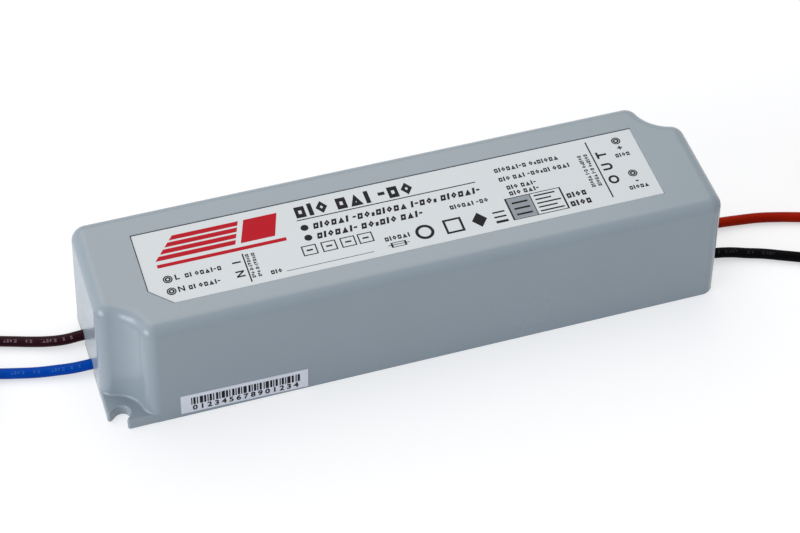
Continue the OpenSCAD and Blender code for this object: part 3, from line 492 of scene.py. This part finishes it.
# Print along a lead: its height, where it starts, its groups (place, number of figures), how far it lies from
# the top towards the front, and its depth in the wire
LEAD_PRINT_H, LEAD_PRINT_START = 0.9, 6.0
LEAD_PRINT_GROUPS = ((0, 1), (1.9, 1), (4.0, 6), (10.2, 3), (14.2, 5))
LEAD_PRINT_TURN, LEAD_INK_DEPTH = math.radians(32), 0.06


class Coil:
    """The flat coil at the end of a lead's route, with its angles in degrees from where it starts."""

    def __init__(self, route):
        route = [Vector(p) for p in route]
        heading = route[-1] - route[-2]
        heading.z = 0
        heading.normalize()
        self.centre = route[-1] + LEAD_IN * heading + OUTER_R * Vector((-heading.y, heading.x, 0))
        self.start = math.degrees(math.atan2(-heading.x, heading.y))
        outside = [p for p in route if abs(p.x) >= HALF_L]
        wall = Vector((math.copysign(HALF_L, route[0].x), outside[0].y, LEAD_Z))
        run = sum((b - a).length for a, b in zip([wall] + outside, outside))
        first_turn = math.radians(STEP_START) * OUTER_R + math.radians(STEP_ANGLE) * COIL_R
        left = LEAD_L - run - LEAD_IN - first_turn
        self.end = STEP_START + STEP_ANGLE + math.degrees(left / INNER_R)

    def radius(self, angle):
        share = min(max((angle - STEP_START) / STEP_ANGLE, 0), 1)
        return OUTER_R + (INNER_R - OUTER_R) * share * share * (3 - 2 * share)

    def at(self, angle):
        turn = math.radians(self.start + angle)
        return self.centre + self.radius(angle) * Vector((math.cos(turn), math.sin(turn), 0))

    def points(self):
        count = math.ceil(self.end / COIL_STEP)
        return [self.at(self.end * i / count) for i in range(count + 1)]


def smooth_curve(name, lines, radius, roundness):
    """Round wires along lines of points."""
    data = bpy.data.curves.new(name, "CURVE")
    data.dimensions = "3D"
    data.bevel_depth = radius * MM
    data.bevel_resolution = roundness
    data.resolution_u = CURVE_STEPS
    data.use_fill_caps = True
    for line in lines:
        spline = data.splines.new("BEZIER")
        spline.bezier_points.add(len(line) - 1)
        for point, place in zip(spline.bezier_points, line):
            point.co = Vector(place) * MM
            point.handle_left_type = point.handle_right_type = "AUTO"
    return data


def strand_lines(coil):
    """The stripped end's strands, twisted about the coil's inner turn."""
    lines = []
    sweep = math.degrees(BARE_L / INNER_R)
    for strand in range(STRANDS):
        reach = 0 if strand == 0 else CONDUCTOR_D / 2 - STRAND_R
        line = []
        for i in range(STRAND_STEPS + 1):
            middle = coil.at(coil.end + sweep * i / STRAND_STEPS)
            twist = 2 * math.pi * (strand / (STRANDS - 1) + BARE_L * i / STRAND_STEPS / STRAND_LAY)
            outward = (middle - coil.centre).normalized()
            line.append(middle + reach * (math.cos(twist) * outward + math.sin(twist) * UP))
        lines.append(line)
    return lines


def tie_mesh(name, coil):
    """A nylon tie round both turns of a coil, with its head on top."""
    near, far = INNER_R - LEAD_D / 2 - TIE_GAP, OUTER_R + LEAD_D / 2 + TIE_GAP
    half_h = LEAD_D / 2 + TIE_GAP
    left, right, top = near + TIE_CORNER_R, far - TIE_CORNER_R, half_h - TIE_CORNER_R
    corners = ((right, top), (left, top), (left, -top), (right, -top))
    turn = Matrix.Translation(coil.centre) @ Matrix.Rotation(math.radians(coil.start + TIE_ANGLE), 4, "Z")
    bm = bmesh.new()

    def loop(grow, y):
        """The band's outline across the coil's turns, grown outwards."""
        points = []
        for i, corner in enumerate(corners):
            points += arc(corner, TIE_CORNER_R + grow, 90 * i, 90 * (i + 1), TIE_CORNER_STEPS)
        return [bm.verts.new(turn @ Vector((x, y, z))) for x, z in points]

    loops = [loop(0, -TIE_W / 2), loop(TIE_T, -TIE_W / 2), loop(TIE_T, TIE_W / 2), loop(0, TIE_W / 2)]
    for a, b in zip(loops, loops[1:] + loops[:1]):
        for face in strip(a, b):
            bm.faces.new(face)
    head = bmesh.ops.create_cube(bm, size=1.0)["verts"]
    place = (Matrix.Translation((COIL_R, 0, half_h + TIE_HEAD_H / 2))
             @ Matrix.Diagonal((TIE_HEAD_L, TIE_HEAD_W, TIE_HEAD_H, 1)))
    bmesh.ops.transform(bm, matrix=turn @ place, verts=head)
    bmesh.ops.recalc_face_normals(bm, faces=bm.faces)
    bmesh.ops.scale(bm, vec=(MM, MM, MM), verts=bm.verts)
    data = bpy.data.meshes.new(name)
    bm.to_mesh(data)
    bm.free()
    return data


class LeadFace:
    """The upper side of a lead that faces the front: x runs along the wire, y round it and z out of it."""

    def __init__(self, data, turn):
        bare = data.copy()
        bare.bevel_depth = 0
        helper = put_in_scene("line", bare)
        self.points = [v.co / MM for v in final_mesh(helper).vertices]
        bpy.data.objects.remove(helper)
        self.lengths = [(b - a).length for a, b in zip(self.points, self.points[1:])]
        ends = [self.points[0]] + self.points + [self.points[-1]]
        self.headings = [(after - before).normalized() for before, after in zip(ends, ends[2:])]
        self.turn = turn

    def place(self, spot):
        left, i = spot.x, 0
        while i < len(self.lengths) - 1 and left > self.lengths[i]:
            left -= self.lengths[i]
            i += 1
        share = left / self.lengths[i]
        heading = self.headings[i].lerp(self.headings[i + 1], share)
        side = heading.cross(UP).normalized()
        up = side.cross(heading).normalized()
        angle = self.turn + spot.y / (LEAD_D / 2)
        outward = math.cos(angle) * up + math.sin(angle) * side
        return self.points[i].lerp(self.points[i + 1], share) + (LEAD_D / 2 + spot.z) * outward


def make_lead_print(name, data, slot, turn):
    """Groups of small plain figures along a lead's first stretch."""
    marks = Print(DARK_INK_H, LEAD_INK_DEPTH)
    for place, count in LEAD_PRINT_GROUPS:
        marks.words(LEAD_PRINT_START + place, -LEAD_PRINT_H / 2, LEAD_PRINT_H, (count,))
    return marks.lay(name, LEAD_INKS[slot], slot, LeadFace(data, turn).place)


def make_lead(kind, name, route, slot):
    """One lead with its coil, bare end, tie, and print where its insulation has an ink."""
    coil = Coil(route)
    wire_name = f"{kind}_lead_{name}_wire"
    wire = smooth_curve(wire_name, [list(route) + coil.points()], LEAD_D / 2, LEAD_ROUND)
    lead = add_piece(wire_name, wire, FINISH[slot])
    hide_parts(f"{kind}_lead_{name}", f"{kind}_coil_{name}")

    strands_name = f"{kind}_strands_{name}"
    bundle = smooth_curve(strands_name, strand_lines(coil), STRAND_R, STRAND_ROUND)
    strands = add_piece(strands_name, bundle, FINISH["tinned_copper"])
    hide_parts(f"{kind}_end_{name}")

    tie_name = f"{kind}_tie_{name}"
    tie = add_piece(tie_name, tie_mesh(tie_name, coil), NYLON)
    ease = tie.modifiers.new("ease", "BEVEL")
    ease.width = TIE_EASE * MM
    ease.segments = TIE_EASE_STEPS

    side = math.copysign(HALF_L, route[0][0])
    if slot in LEAD_INKS:
        turn = math.copysign(LEAD_PRINT_TURN, side)
        make_lead_print(f"{kind}_print_{name}", wire, slot, turn)


# Housing, in millimetres

CORNER_STEPS, SCOOP_STEPS, FILLET_STEPS, FOOT_STEPS, EASE_STEPS = 14, 28, 10, 5, 5
SLOT_STEPS, NOTCH_STEPS = 28, 24
# How far the ear's outer sides lie inside the housing's, and the radii of its upper edge, of its tips and of
# the rim of the label's recess
EAR_STEP, EAR_R, TIP_R, RIM_R = 0.06, 0.45, 0.6, 0.15
# The least square of two neighbouring sides' summed normals, which keeps a sharp corner from moving far
CORNER_LIMIT = 0.5
# How far a cut runs past the face that it opens
CUT_PAST = 1
# Points of cut solids closer than this are one point, and edges sharper than this angle stay sharp
WELD, SHARP_ANGLE = 0.01, math.radians(32)
LEAD_EXITS = ((-HALF_L, LEAD_PITCH), (-HALF_L, 0), (HALF_L, 0), (HALF_L, -LEAD_PITCH))


def blend_reach(z, scoop_r):
    """How far along a wall the centre of the blend beside the scoop lies from the scoop's centre."""
    side = z * math.tan(DRAFT) + EDGE_R - SCOOP_INSET
    return math.sqrt((scoop_r + EDGE_R) ** 2 - side ** 2)


def wall_outline(z, inset, swell=0.0):
    """The housing's outline at one height, set in from its faces, with the scoop narrowed by its swell."""
    run = z * math.tan(DRAFT)
    radius = EDGE_R - inset
    scoop = (HALF_L - SCOOP_INSET, HALF_W - SCOOP_INSET)
    scoop_r = SCOOP_R + z * math.tan(SCOOP_DRAFT) - swell
    side, reach = run + EDGE_R - SCOOP_INSET, blend_reach(z, scoop_r)
    lean = math.degrees(math.atan2(reach, side))
    half = arc((HALF_L - run - EDGE_R, -HALF_W + run + EDGE_R), radius, -90, 0, CORNER_STEPS)
    half += arc((scoop[0] - side, scoop[1] - reach), radius, 0, lean, CORNER_STEPS)
    half += arc(scoop, scoop_r + inset, 180 + lean, 270 - lean, SCOOP_STEPS)[1:-1]
    half += arc((scoop[0] - reach, scoop[1] - side), radius, 90 - lean, 90, CORNER_STEPS)
    return [(x, y, z) for x, y in half] + [(-x, -y, z) for x, y in half]


def body_mesh():
    """The housing's outer form, from its foot over the walls to the rounded top edge."""
    levels = [wall_outline(0, 0, FOOT_FILLET)]
    for turn in quarter_turn(FOOT_STEPS):
        z = FOOT_H + FOOT_FILLET * (1 - math.cos(turn))
        levels.append(wall_outline(z, 0, FOOT_FILLET * (1 - math.sin(turn))))
    for turn in quarter_turn(FILLET_STEPS):
        z = HOUSING_H - TOP_R + TOP_R * math.sin(turn)
        levels.append(wall_outline(z, TOP_R * (1 - math.cos(turn))))
    return loft("body", levels)


def cavity_mesh():
    return loft("cavity", [wall_outline(-CUT_PAST, WALL), wall_outline(HOUSING_H - TOP_WALL, WALL)])


def eased(corner, before, after, radius):
    """Points of the arc that rounds a corner between two straight sides."""
    corner = Vector(corner)
    a, b = (Vector(before) - corner).normalized(), (Vector(after) - corner).normalized()
    half = a.angle(b) / 2
    middle = corner + (a + b).normalized() * radius / math.sin(half)
    first = corner + a * radius / math.tan(half) - middle
    turn = (math.pi - 2 * half) * (-1 if a.cross(b) > 0 else 1)
    return [tuple(middle + Matrix.Rotation(turn * i / EASE_STEPS, 2) @ first) for i in range(EASE_STEPS + 1)]


def ear_outline():
    """The ear seen from above: a block in the corner with the open slot and rounded tips."""
    reach = SCOOP_INSET + blend_reach(0, SCOOP_R)
    far_x, far_y = HALF_L - EAR_STEP, HALF_W - EAR_STEP
    near_x, near_y = HALF_L - reach, HALF_W - reach
    centre = Vector((HALF_L - SLOT_INSET_L, HALF_W - SLOT_INSET_W))
    along, across = Vector((1, 1)).normalized(), Vector((-1, 1)).normalized()
    spread = SLOT_FLARE / 2 / (SLOT_INSET_L + SLOT_INSET_W)
    # Where the slot's flared sides run out through the ear's two outer sides
    out_x = (far_x - centre.x + SLOT_R * across.x) / (along.x - spread * across.x)
    right = centre + out_x * along - (SLOT_R + spread * out_x) * across
    out_y = (far_y - centre.y - SLOT_R * across.y) / (along.y + spread * across.y)
    left = centre + out_y * along + (SLOT_R + spread * out_y) * across
    tilt = math.degrees(math.atan(spread))
    bend = arc(centre, SLOT_R, -45 - tilt, -225 + tilt, SLOT_STEPS)
    return ([(near_x, near_y), (far_x, near_y)] + eased(right, (far_x, near_y), bend[0], TIP_R) + bend
            + eased(left, bend[-1], (near_x, far_y), TIP_R) + [(near_x, far_y)])


def inset_outline(points, distance):
    """An outline moved to its own left, which is inwards where it runs counter-clockwise."""
    moved = []
    for i, point in enumerate(points):
        before, after = Vector(points[i - 1]), Vector(points[(i + 1) % len(points)])
        a, b = (Vector(point) - before).normalized(), (after - Vector(point)).normalized()
        side = Vector((-a.y - b.y, a.x + b.x))
        moved.append(tuple(Vector(point) + side * 2 * distance / max(side.length_squared, CORNER_LIMIT)))
    return moved


def ear_mesh(spin):
    """An ear with a rounded upper edge, turned to its corner."""
    outline = ear_outline()
    levels = [[(x, y, 0) for x, y in outline]]
    for turn in quarter_turn(EASE_STEPS):
        z, inset = FOOT_H - EAR_R * (1 - math.sin(turn)), EAR_R * (1 - math.cos(turn))
        levels.append([(x, y, z) for x, y in inset_outline(outline, inset)])
    return loft("ear", [[tuple(spin @ Vector(p)) for p in level] for level in levels])


def label_outline(grow):
    """The label's outline with its cut corner, grown outwards."""
    length, width, cut = LABEL_L / 2 + grow, LABEL_W / 2 + grow, LABEL_CUT + grow * (2 - math.sqrt(2))
    front, back = LABEL_Y - width, LABEL_Y + width
    return [(-length, front + cut), (-length + cut, front), (length, front), (length, back), (-length, back)]


def recess_mesh():
    """The label's recess, with a rim that is rounded into the top."""
    levels = [(HOUSING_H - LABEL_RECESS, LABEL_CLEAR)]
    for turn in quarter_turn(EASE_STEPS):
        z = HOUSING_H - RIM_R * (1 - math.sin(turn))
        levels.append((z, LABEL_CLEAR + RIM_R * (1 - math.cos(turn))))
    levels.append((HOUSING_H + CUT_PAST, LABEL_CLEAR + RIM_R))
    return loft("recess", [[(x, y, z) for x, y in label_outline(grow)] for z, grow in levels])


def notch_mesh(x, y):
    """A cut for a lead in the foot of an end wall, open downwards."""
    radius = LEAD_D / 2 + LEAD_CLEAR
    outline = [(-radius, -CUT_PAST), (radius, -CUT_PAST)] + arc((0, LEAD_Z), radius, 0, 180, NOTCH_STEPS)
    ends = (x - 2 * WALL, x + 2 * WALL)
    return loft("notch", [[(end, y + across, z) for across, z in outline] for end in ends])


def shape(body, tools):
    """The body's mesh after each tool is added to it or cut from it."""
    target = put_in_scene("shape", body)
    helpers = [target]
    for operation, data in tools:
        helper = put_in_scene("tool", data)
        helpers.append(helper)
        step = target.modifiers.new("step", "BOOLEAN")
        step.operation = operation
        step.solver = "EXACT"
        step.object = helper
    result = final_mesh(target)
    for helper in helpers:
        bpy.data.objects.remove(helper)
    bm = bmesh.new()
    bm.from_mesh(result)
    weld_points(bm, WELD * MM)
    bm.to_mesh(result)
    bm.free()
    return result


def make_housing():
    tools = [("UNION", ear_mesh(Matrix.Rotation(turn, 4, "Z"))) for turn in (0, math.pi)]
    cuts = [cavity_mesh(), recess_mesh()] + [notch_mesh(x, y) for x, y in LEAD_EXITS]
    tools += [("DIFFERENCE", cut) for cut in cuts]
    data = shape(body_mesh(), tools)
    for face in data.polygons:
        face.use_smooth = True
    data.set_sharp_from_angle(angle=SHARP_ANGLE)
    piece = add_piece("housing_shell", data, FINISH["housing_plastic"])
    even = piece.modifiers.new("even", "WEIGHTED_NORMAL")
    even.keep_sharp = True
    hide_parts("housing")


# Print on the label, with painted shade along its edge, in millimetres to the right and to the back of the
# housing's middle

# The border's line width; the border is print, with painted shade of the recess where its line is dark
BORDER_W = 0.2
# The emblem's stripes: the lowest one's place, length and height, each next one's change, and their slants
STRIPES, STRIPE_X, STRIPE_Y, STRIPE_L, STRIPE_H = 4, -62.4, 1.6, 20.2, 1.4
STRIPE_SHIFT, STRIPE_RISE, STRIPE_LOSS = 1.6, 2.0, 0.9
STRIPE_SLANT, STRIPE_END_SLANT = 1.1, 0.5
EMBLEM_BLOCK = ((-40.8, 1.6), (-32.0, 1.6), (-29.6, 9.0), (-38.2, 9.0))
EMBLEM_RULE = (-62.4, -0.7, 32.8, 1.1)
# Lines of figures: left, foot, height, figures in each group, weight
LABEL_LINES = (
    (-25.2, 5.6, 4.2, (3, 3, 3), TITLE),
    (12.6, -2.5, 1.45, (6, 3), PLAIN),
    (-36.2, -10.5, 1.4, (3,), PLAIN),
    (-6.3, -8.2, 1.5, (6,), PLAIN),
    (42.3, -7.2, 1.8, (4,), BOLD),
    (42.3, -10.2, 1.9, (4,), BOLD),
    (27.5, 6.4, 1.5, (8, 7), PLAIN),
    (27.6, 3.1, 1.5, (3, 3, 6, 4), PLAIN),
    (28.6, -0.1, 1.5, (3, 4), PLAIN),
    (28.6, -2.2, 1.5, (3, 4), PLAIN),
    (-56.6, -5.5, 1.5, (2, 6), PLAIN),
    (-56.6, -9.5, 1.5, (2, 5), PLAIN),
    (59.3, 2.7, 1.35, (4,), PLAIN),
    (58.6, -9.0, 1.35, (5,), PLAIN),
)
# Lines that run across the label: where they start, height, figures in each group, turn in degrees
TURNED_LINES = (
    (-39.4, -2.3, 0.95, (8, 3), -90),
    (-40.9, -2.3, 0.95, (8, 3), -90),
    (50.6, -5.4, 1.05, (5, 3, 6), 90),
    (52.3, -5.4, 1.05, (5, 3, 6), 90),
)
# Slanted lines behind a dot: where their middle lies, and figures in each group
DOTTED_LINES = ((2.07, (6, 9, 5, 7)), (-1.4, (7, 6, 4)))
DOT_X, DOT_R, DOTTED_X, DOTTED_H, DOTTED_SLANT = -24.3, 1.0, -22.2, 2.1, 0.2
# Rules and bars: left, foot, length, height
LABEL_BARS = (
    (-25.5, 4.7, 47.1, 0.3),
    (-32.4, -10.55, 22.4, 0.15),
    (-6.2, -9.85, 5.6, 0.18),
    (22.2, -10.3, 3.2, 0.8),
    (22.2, -8.5, 3.2, 0.5),
    (22.2, -6.9, 3.2, 0.5),
    (-41.6, -11.4, 0.35, 9.5),
    (53.25, -10.1, 0.35, 20.2),
)
# Frames: left, foot, length, height, width of their line
LABEL_FRAMES = ((-5.4, -10.6, 4.0, 1.6, 0.2), (9.2, -10.2, 4.8, 4.8, 0.6))
LABEL_RING = (4.0, -7.8, 2.4, 1.6)
LABEL_DIAMOND = ((18.4, -10.3), (20.4, -7.8), (18.4, -5.3), (16.4, -7.8))
# Four frames with a dash: the middle of each, then the frame's and the dash's foot, length and height
DASH_FRAMES_X = (-25.1, -20.1, -15.2, -10.7)
DASH_FRAME_Y, DASH_FRAME_L, DASH_FRAME_H, DASH_FRAME_W = -7.1, 3.8, 3.3, 0.28
FRAMED_DASH_Y, FRAMED_DASH_L, FRAMED_DASH_H = -5.7, 1.6, 0.5
# A frame of two cells, the first one grey, with bars in both
CELLS_FRAME = (26.6, -10.5, 15.0, 7.6, 0.22)
CELLS_DIVIDE = (33.2, -10.3, 0.22, 7.2)
GREY_CELL = (27.0, -10.2, 6.2, 7.1)
GREY_BARS, GREY_BAR_X, GREY_BAR_Y, GREY_BAR_STEP, GREY_BAR_L, GREY_BAR_H = 3, 28.0, -9.2, 2.0, 4.2, 0.6
CELL_BAR_X, CELL_BAR_Y, CELL_BAR_STEP, CELL_BAR_H = 34.2, -9.6, 1.35, 0.45
CELL_BAR_LENGTHS = (6.4, 5.0, 6.4, 4.2, 5.6)
TERMINALS = ((-60.9, -4.8), (-60.9, -8.8), (61.3, 8.4), (61.3, -3.6))
# Outer and inner radius of the two rings at each terminal
TERMINAL_RINGS = ((1.2, 0.88), (0.74, 0.32))
# Letters and signs: text, middle, height, turn in degrees
LABEL_LETTERS = (
    ("L", -58.6, -4.75, 1.7, 0),
    ("N", -58.4, -8.75, 1.7, 0),
    ("I   N", -43.6, -6.6, 2.1, -90),
    ("O  U  T", 56.0, 0, 2.6, 90),
    ("+", 61.4, 5.7, 1.8, 0),
    ("-", 61.4, -6.2, 1.8, 0),
)


def draw_border_with_painted_shade(dark, grey):
    """A printed line along the label's edge, dark at the back, the left and the cut corner as painted shade
    from the recess wall, and grey at the front and the right.
    """
    edge = label_outline(0)
    # Dark along the back, the left and the cut corner: painted shade where the recess wall shades the label's
    # edge
    for i, j in ((3, 4), (4, 0), (0, 1)):
        dark.line(edge[i], edge[j], BORDER_W)
    for i, j in ((1, 2), (2, 3)):
        grey.line(edge[i], edge[j], BORDER_W)


def draw_emblem(red):
    """Slanted stripes that run into a plain block, and a rule below."""
    for i in range(STRIPES):
        x, y = STRIPE_X + STRIPE_SHIFT * i, STRIPE_Y + STRIPE_RISE * i
        end, top = x + STRIPE_L - STRIPE_LOSS * i, y + STRIPE_H
        red.polygon([(x, y), (end, y), (end + STRIPE_END_SLANT, top), (x + STRIPE_SLANT, top)])
    red.polygon(EMBLEM_BLOCK)
    red.bar(*EMBLEM_RULE)


def draw_lines(dark):
    """Level lines of plain figures, turned ones, and slanted ones behind a dot."""
    for x, y, height, groups, weight in LABEL_LINES:
        dark.words(x, y, height, groups, weight)
    for x, y, height, groups, turn in TURNED_LINES:
        dark.words(x, y, height, groups, turn=turn)
    for y, groups in DOTTED_LINES:
        dark.disc(DOT_X, y, DOT_R)
        dark.words(DOTTED_X, y - DOTTED_H / 2, DOTTED_H, groups, BOLD, DOTTED_SLANT)


def draw_signs(dark, grey):
    """Bars, frames, rings and other plain signs."""
    for bar in LABEL_BARS:
        dark.bar(*bar)
    for edge in LABEL_FRAMES:
        dark.open_bar(*edge)
    dark.ring(*LABEL_RING)
    dark.polygon(LABEL_DIAMOND)
    for x in DASH_FRAMES_X:
        dark.open_bar(x - DASH_FRAME_L / 2, DASH_FRAME_Y, DASH_FRAME_L, DASH_FRAME_H, DASH_FRAME_W)
        dark.bar(x - FRAMED_DASH_L / 2, FRAMED_DASH_Y, FRAMED_DASH_L, FRAMED_DASH_H)
    dark.open_bar(*CELLS_FRAME)
    dark.bar(*CELLS_DIVIDE)
    grey.bar(*GREY_CELL)
    for i in range(GREY_BARS):
        dark.bar(GREY_BAR_X, GREY_BAR_Y + GREY_BAR_STEP * i, GREY_BAR_L, GREY_BAR_H)
    for i, length in enumerate(CELL_BAR_LENGTHS):
        dark.bar(CELL_BAR_X, CELL_BAR_Y + CELL_BAR_STEP * i, length, CELL_BAR_H)
    for x, y in TERMINALS:
        for outer, inner in TERMINAL_RINGS:
            dark.ring(x, y, outer, inner)


def make_label_print():
    on_label = Matrix.Translation((0, 0, LABEL_TOP))
    dark, red, grey = Print(DARK_INK_H), Print(RED_INK_H), Print(GREY_INK_H)
    draw_border_with_painted_shade(dark, grey)
    draw_emblem(red)
    draw_lines(dark)
    draw_signs(dark, grey)
    # The dark marks include the border's painted shade along the back, the left and the cut corner
    dark.lay("label_marks_dark", DARK_INK, "label_foil", on_plane(on_label))
    red.lay("label_marks_red", RED_INK, "label_foil", on_plane(on_label))
    grey.lay("label_marks_grey", GREY_INK, "label_foil", on_plane(on_label))
    lettering("label_letters", LABEL_LETTERS, DARK_INK, on_label)


# Print on the sticker, in millimetres from its lower left corner

BARS_START, BARS_END, BARS_Y, BARS_H = 2.6, 30.6, 2.75, 2.6
BAR_WIDTHS = (0.3, 0.6, 0.3, 0.85, 0.55, 0.3, 0.6)
BAR_GAPS = (0.25, 0.3, 0.45, 0.25, 0.3)
# Text, middle, height and turn
STICKER_DIGITS = (("0 1 2 3 4 5 6 7 8 9 0 1 2 3 4", 16.6, 1.45, 1.75, 0),)


def sticker_face():
    """The matrix that takes a flat drawing to the sticker's outer face."""
    foot = Matrix.Translation((-HALF_L + STICKER_X, -HALF_W, 0))
    upright = Matrix.Rotation(math.pi / 2 - DRAFT, 4, "X")
    askew = Matrix.Translation((0, STICKER_Z, 0)) @ Matrix.Rotation(STICKER_TILT, 4, "Z")
    return foot @ upright @ askew @ Matrix.Translation((0, 0, STICKER_T))


def make_sticker_print():
    on_sticker = sticker_face()
    dark = Print(DARK_INK_H)
    widths, gaps = itertools.cycle(BAR_WIDTHS), itertools.cycle(BAR_GAPS)
    x = BARS_START
    while x < BARS_END:
        width = next(widths)
        dark.bar(x, BARS_Y, width, BARS_H)
        x += width + next(gaps)
    dark.lay("sticker_bars", DARK_INK, "sticker_paper", on_plane(on_sticker))
    lettering("sticker_digits", STICKER_DIGITS, DARK_INK, on_sticker)


# Floor, light and background

# Half of the floor's width and how far it lies below the part, in millimetres
FLOOR_REACH, FLOOR_DROP = 3000, 0.02
# The floor's grey and glow where it is seen, and its grey for scattered light
FLOOR_SHADE, FLOOR_GLOW, FLOOR_BOUNCE = 0.55, 0.55, 0.8
AMBIENT, AMBIENT_COLOUR, WHITE = 0.42, (0.92, 1.0, 1.1, 1), (1, 1, 1, 1)
# Lamps that face the middle of the part: place and width in metres, power in watts, colour
LAMP_AIM = Vector((0, 0, 0.02))
LAMPS = {
    "key": dict(place=(-0.1, 0.6, 1.2), size=1.4, energy=10.0, colour=(1.02, 0.945, 0.89)),
    "side": dict(place=(-2.05, -0.74, 0.42), size=1.4, energy=31.0, colour=(0.97, 0.98, 1.06)),
}


def plain_view(nodes, links):
    """1 for what is seen directly, in a reflection or through something clear, and 0 for scattered light."""
    path = nodes.new("ShaderNodeLightPath")
    total = path.outputs["Is Camera Ray"]
    for kind in ("Is Glossy Ray", "Is Transmission Ray"):
        either = nodes.new("ShaderNodeMath")
        either.operation = "MAXIMUM"
        links.new(total, either.inputs[0])
        links.new(path.outputs[kind], either.inputs[1])
        total = either.outputs[0]
    return total


def choose_by_view(nodes, links, scattered, seen, output):
    """Use one shader for scattered light and another for what is seen."""
    choice = nodes.new("ShaderNodeMixShader")
    links.new(plain_view(nodes, links), choice.inputs["Fac"])
    links.new(scattered.outputs[0], choice.inputs[1])
    links.new(seen.outputs[0], choice.inputs[2])
    links.new(choice.outputs[0], nodes[output].inputs["Surface"])


def floor_material():
    material = bpy.data.materials.new("floor")
    material.use_nodes = True
    nodes, links = material.node_tree.nodes, material.node_tree.links
    nodes.remove(nodes["Principled BSDF"])
    shade = nodes.new("ShaderNodeBsdfDiffuse")
    shade.inputs["Color"].default_value = (FLOOR_SHADE, FLOOR_SHADE, FLOOR_SHADE, 1)
    glow = nodes.new("ShaderNodeEmission")
    glow.inputs["Strength"].default_value = FLOOR_GLOW
    seen = nodes.new("ShaderNodeAddShader")
    links.new(shade.outputs[0], seen.inputs[0])
    links.new(glow.outputs[0], seen.inputs[1])
    scattered = nodes.new("ShaderNodeBsdfDiffuse")
    scattered.inputs["Color"].default_value = (FLOOR_BOUNCE, FLOOR_BOUNCE, FLOOR_BOUNCE, 1)
    choose_by_view(nodes, links, scattered, seen, "Material Output")
    return material


def make_floor():
    square = rectangle(-FLOOR_REACH, -FLOOR_REACH, 2 * FLOOR_REACH, 2 * FLOOR_REACH)
    floor = put_in_scene("floor", mesh_of("floor", [(x, y, -FLOOR_DROP) for x, y in square], [(0, 1, 2, 3)]))
    dress(floor.data, floor_material())


def make_background():
    world = bpy.data.worlds.new("studio")
    world.use_nodes = True
    nodes, links = world.node_tree.nodes, world.node_tree.links
    ambient = nodes["Background"]
    ambient.inputs["Color"].default_value = AMBIENT_COLOUR
    ambient.inputs["Strength"].default_value = AMBIENT
    white = nodes.new("ShaderNodeBackground")
    white.inputs["Color"].default_value = WHITE
    white.inputs["Strength"].default_value = 1.0
    choose_by_view(nodes, links, ambient, white, "World Output")
    bpy.context.scene.world = world


def make_lamp(name, place, size, energy, colour):
    data = bpy.data.lights.new(name, "AREA")
    data.shape = "SQUARE"
    data.size = size
    data.energy = energy
    data.color = colour
    lamp = put_in_scene(name, data)
    lamp.location = place
    lamp.rotation_euler = (LAMP_AIM - Vector(place)).to_track_quat("-Z", "Y").to_euler()


def make_studio():
    make_floor()
    make_background()
    for name, lamp in LAMPS.items():
        make_lamp(name, **lamp)
    bpy.context.scene.view_settings.view_transform = "Standard"


make_camera()
for part in frame["record"]["subparts"]:
    dress(frame["nodes"][part["node"]].data, FINISH[part["material_slot"]])
make_lead("input", "line", LINE_ROUTE, "brown_insulation")
make_lead("input", "neutral", NEUTRAL_ROUTE, "blue_insulation")
make_lead("output", "plus", PLUS_ROUTE, "red_insulation")
make_lead("output", "minus", MINUS_ROUTE, "black_insulation")
make_housing()
make_label_print()
make_sticker_print()
make_studio()

bpy.context.view_layer.update()
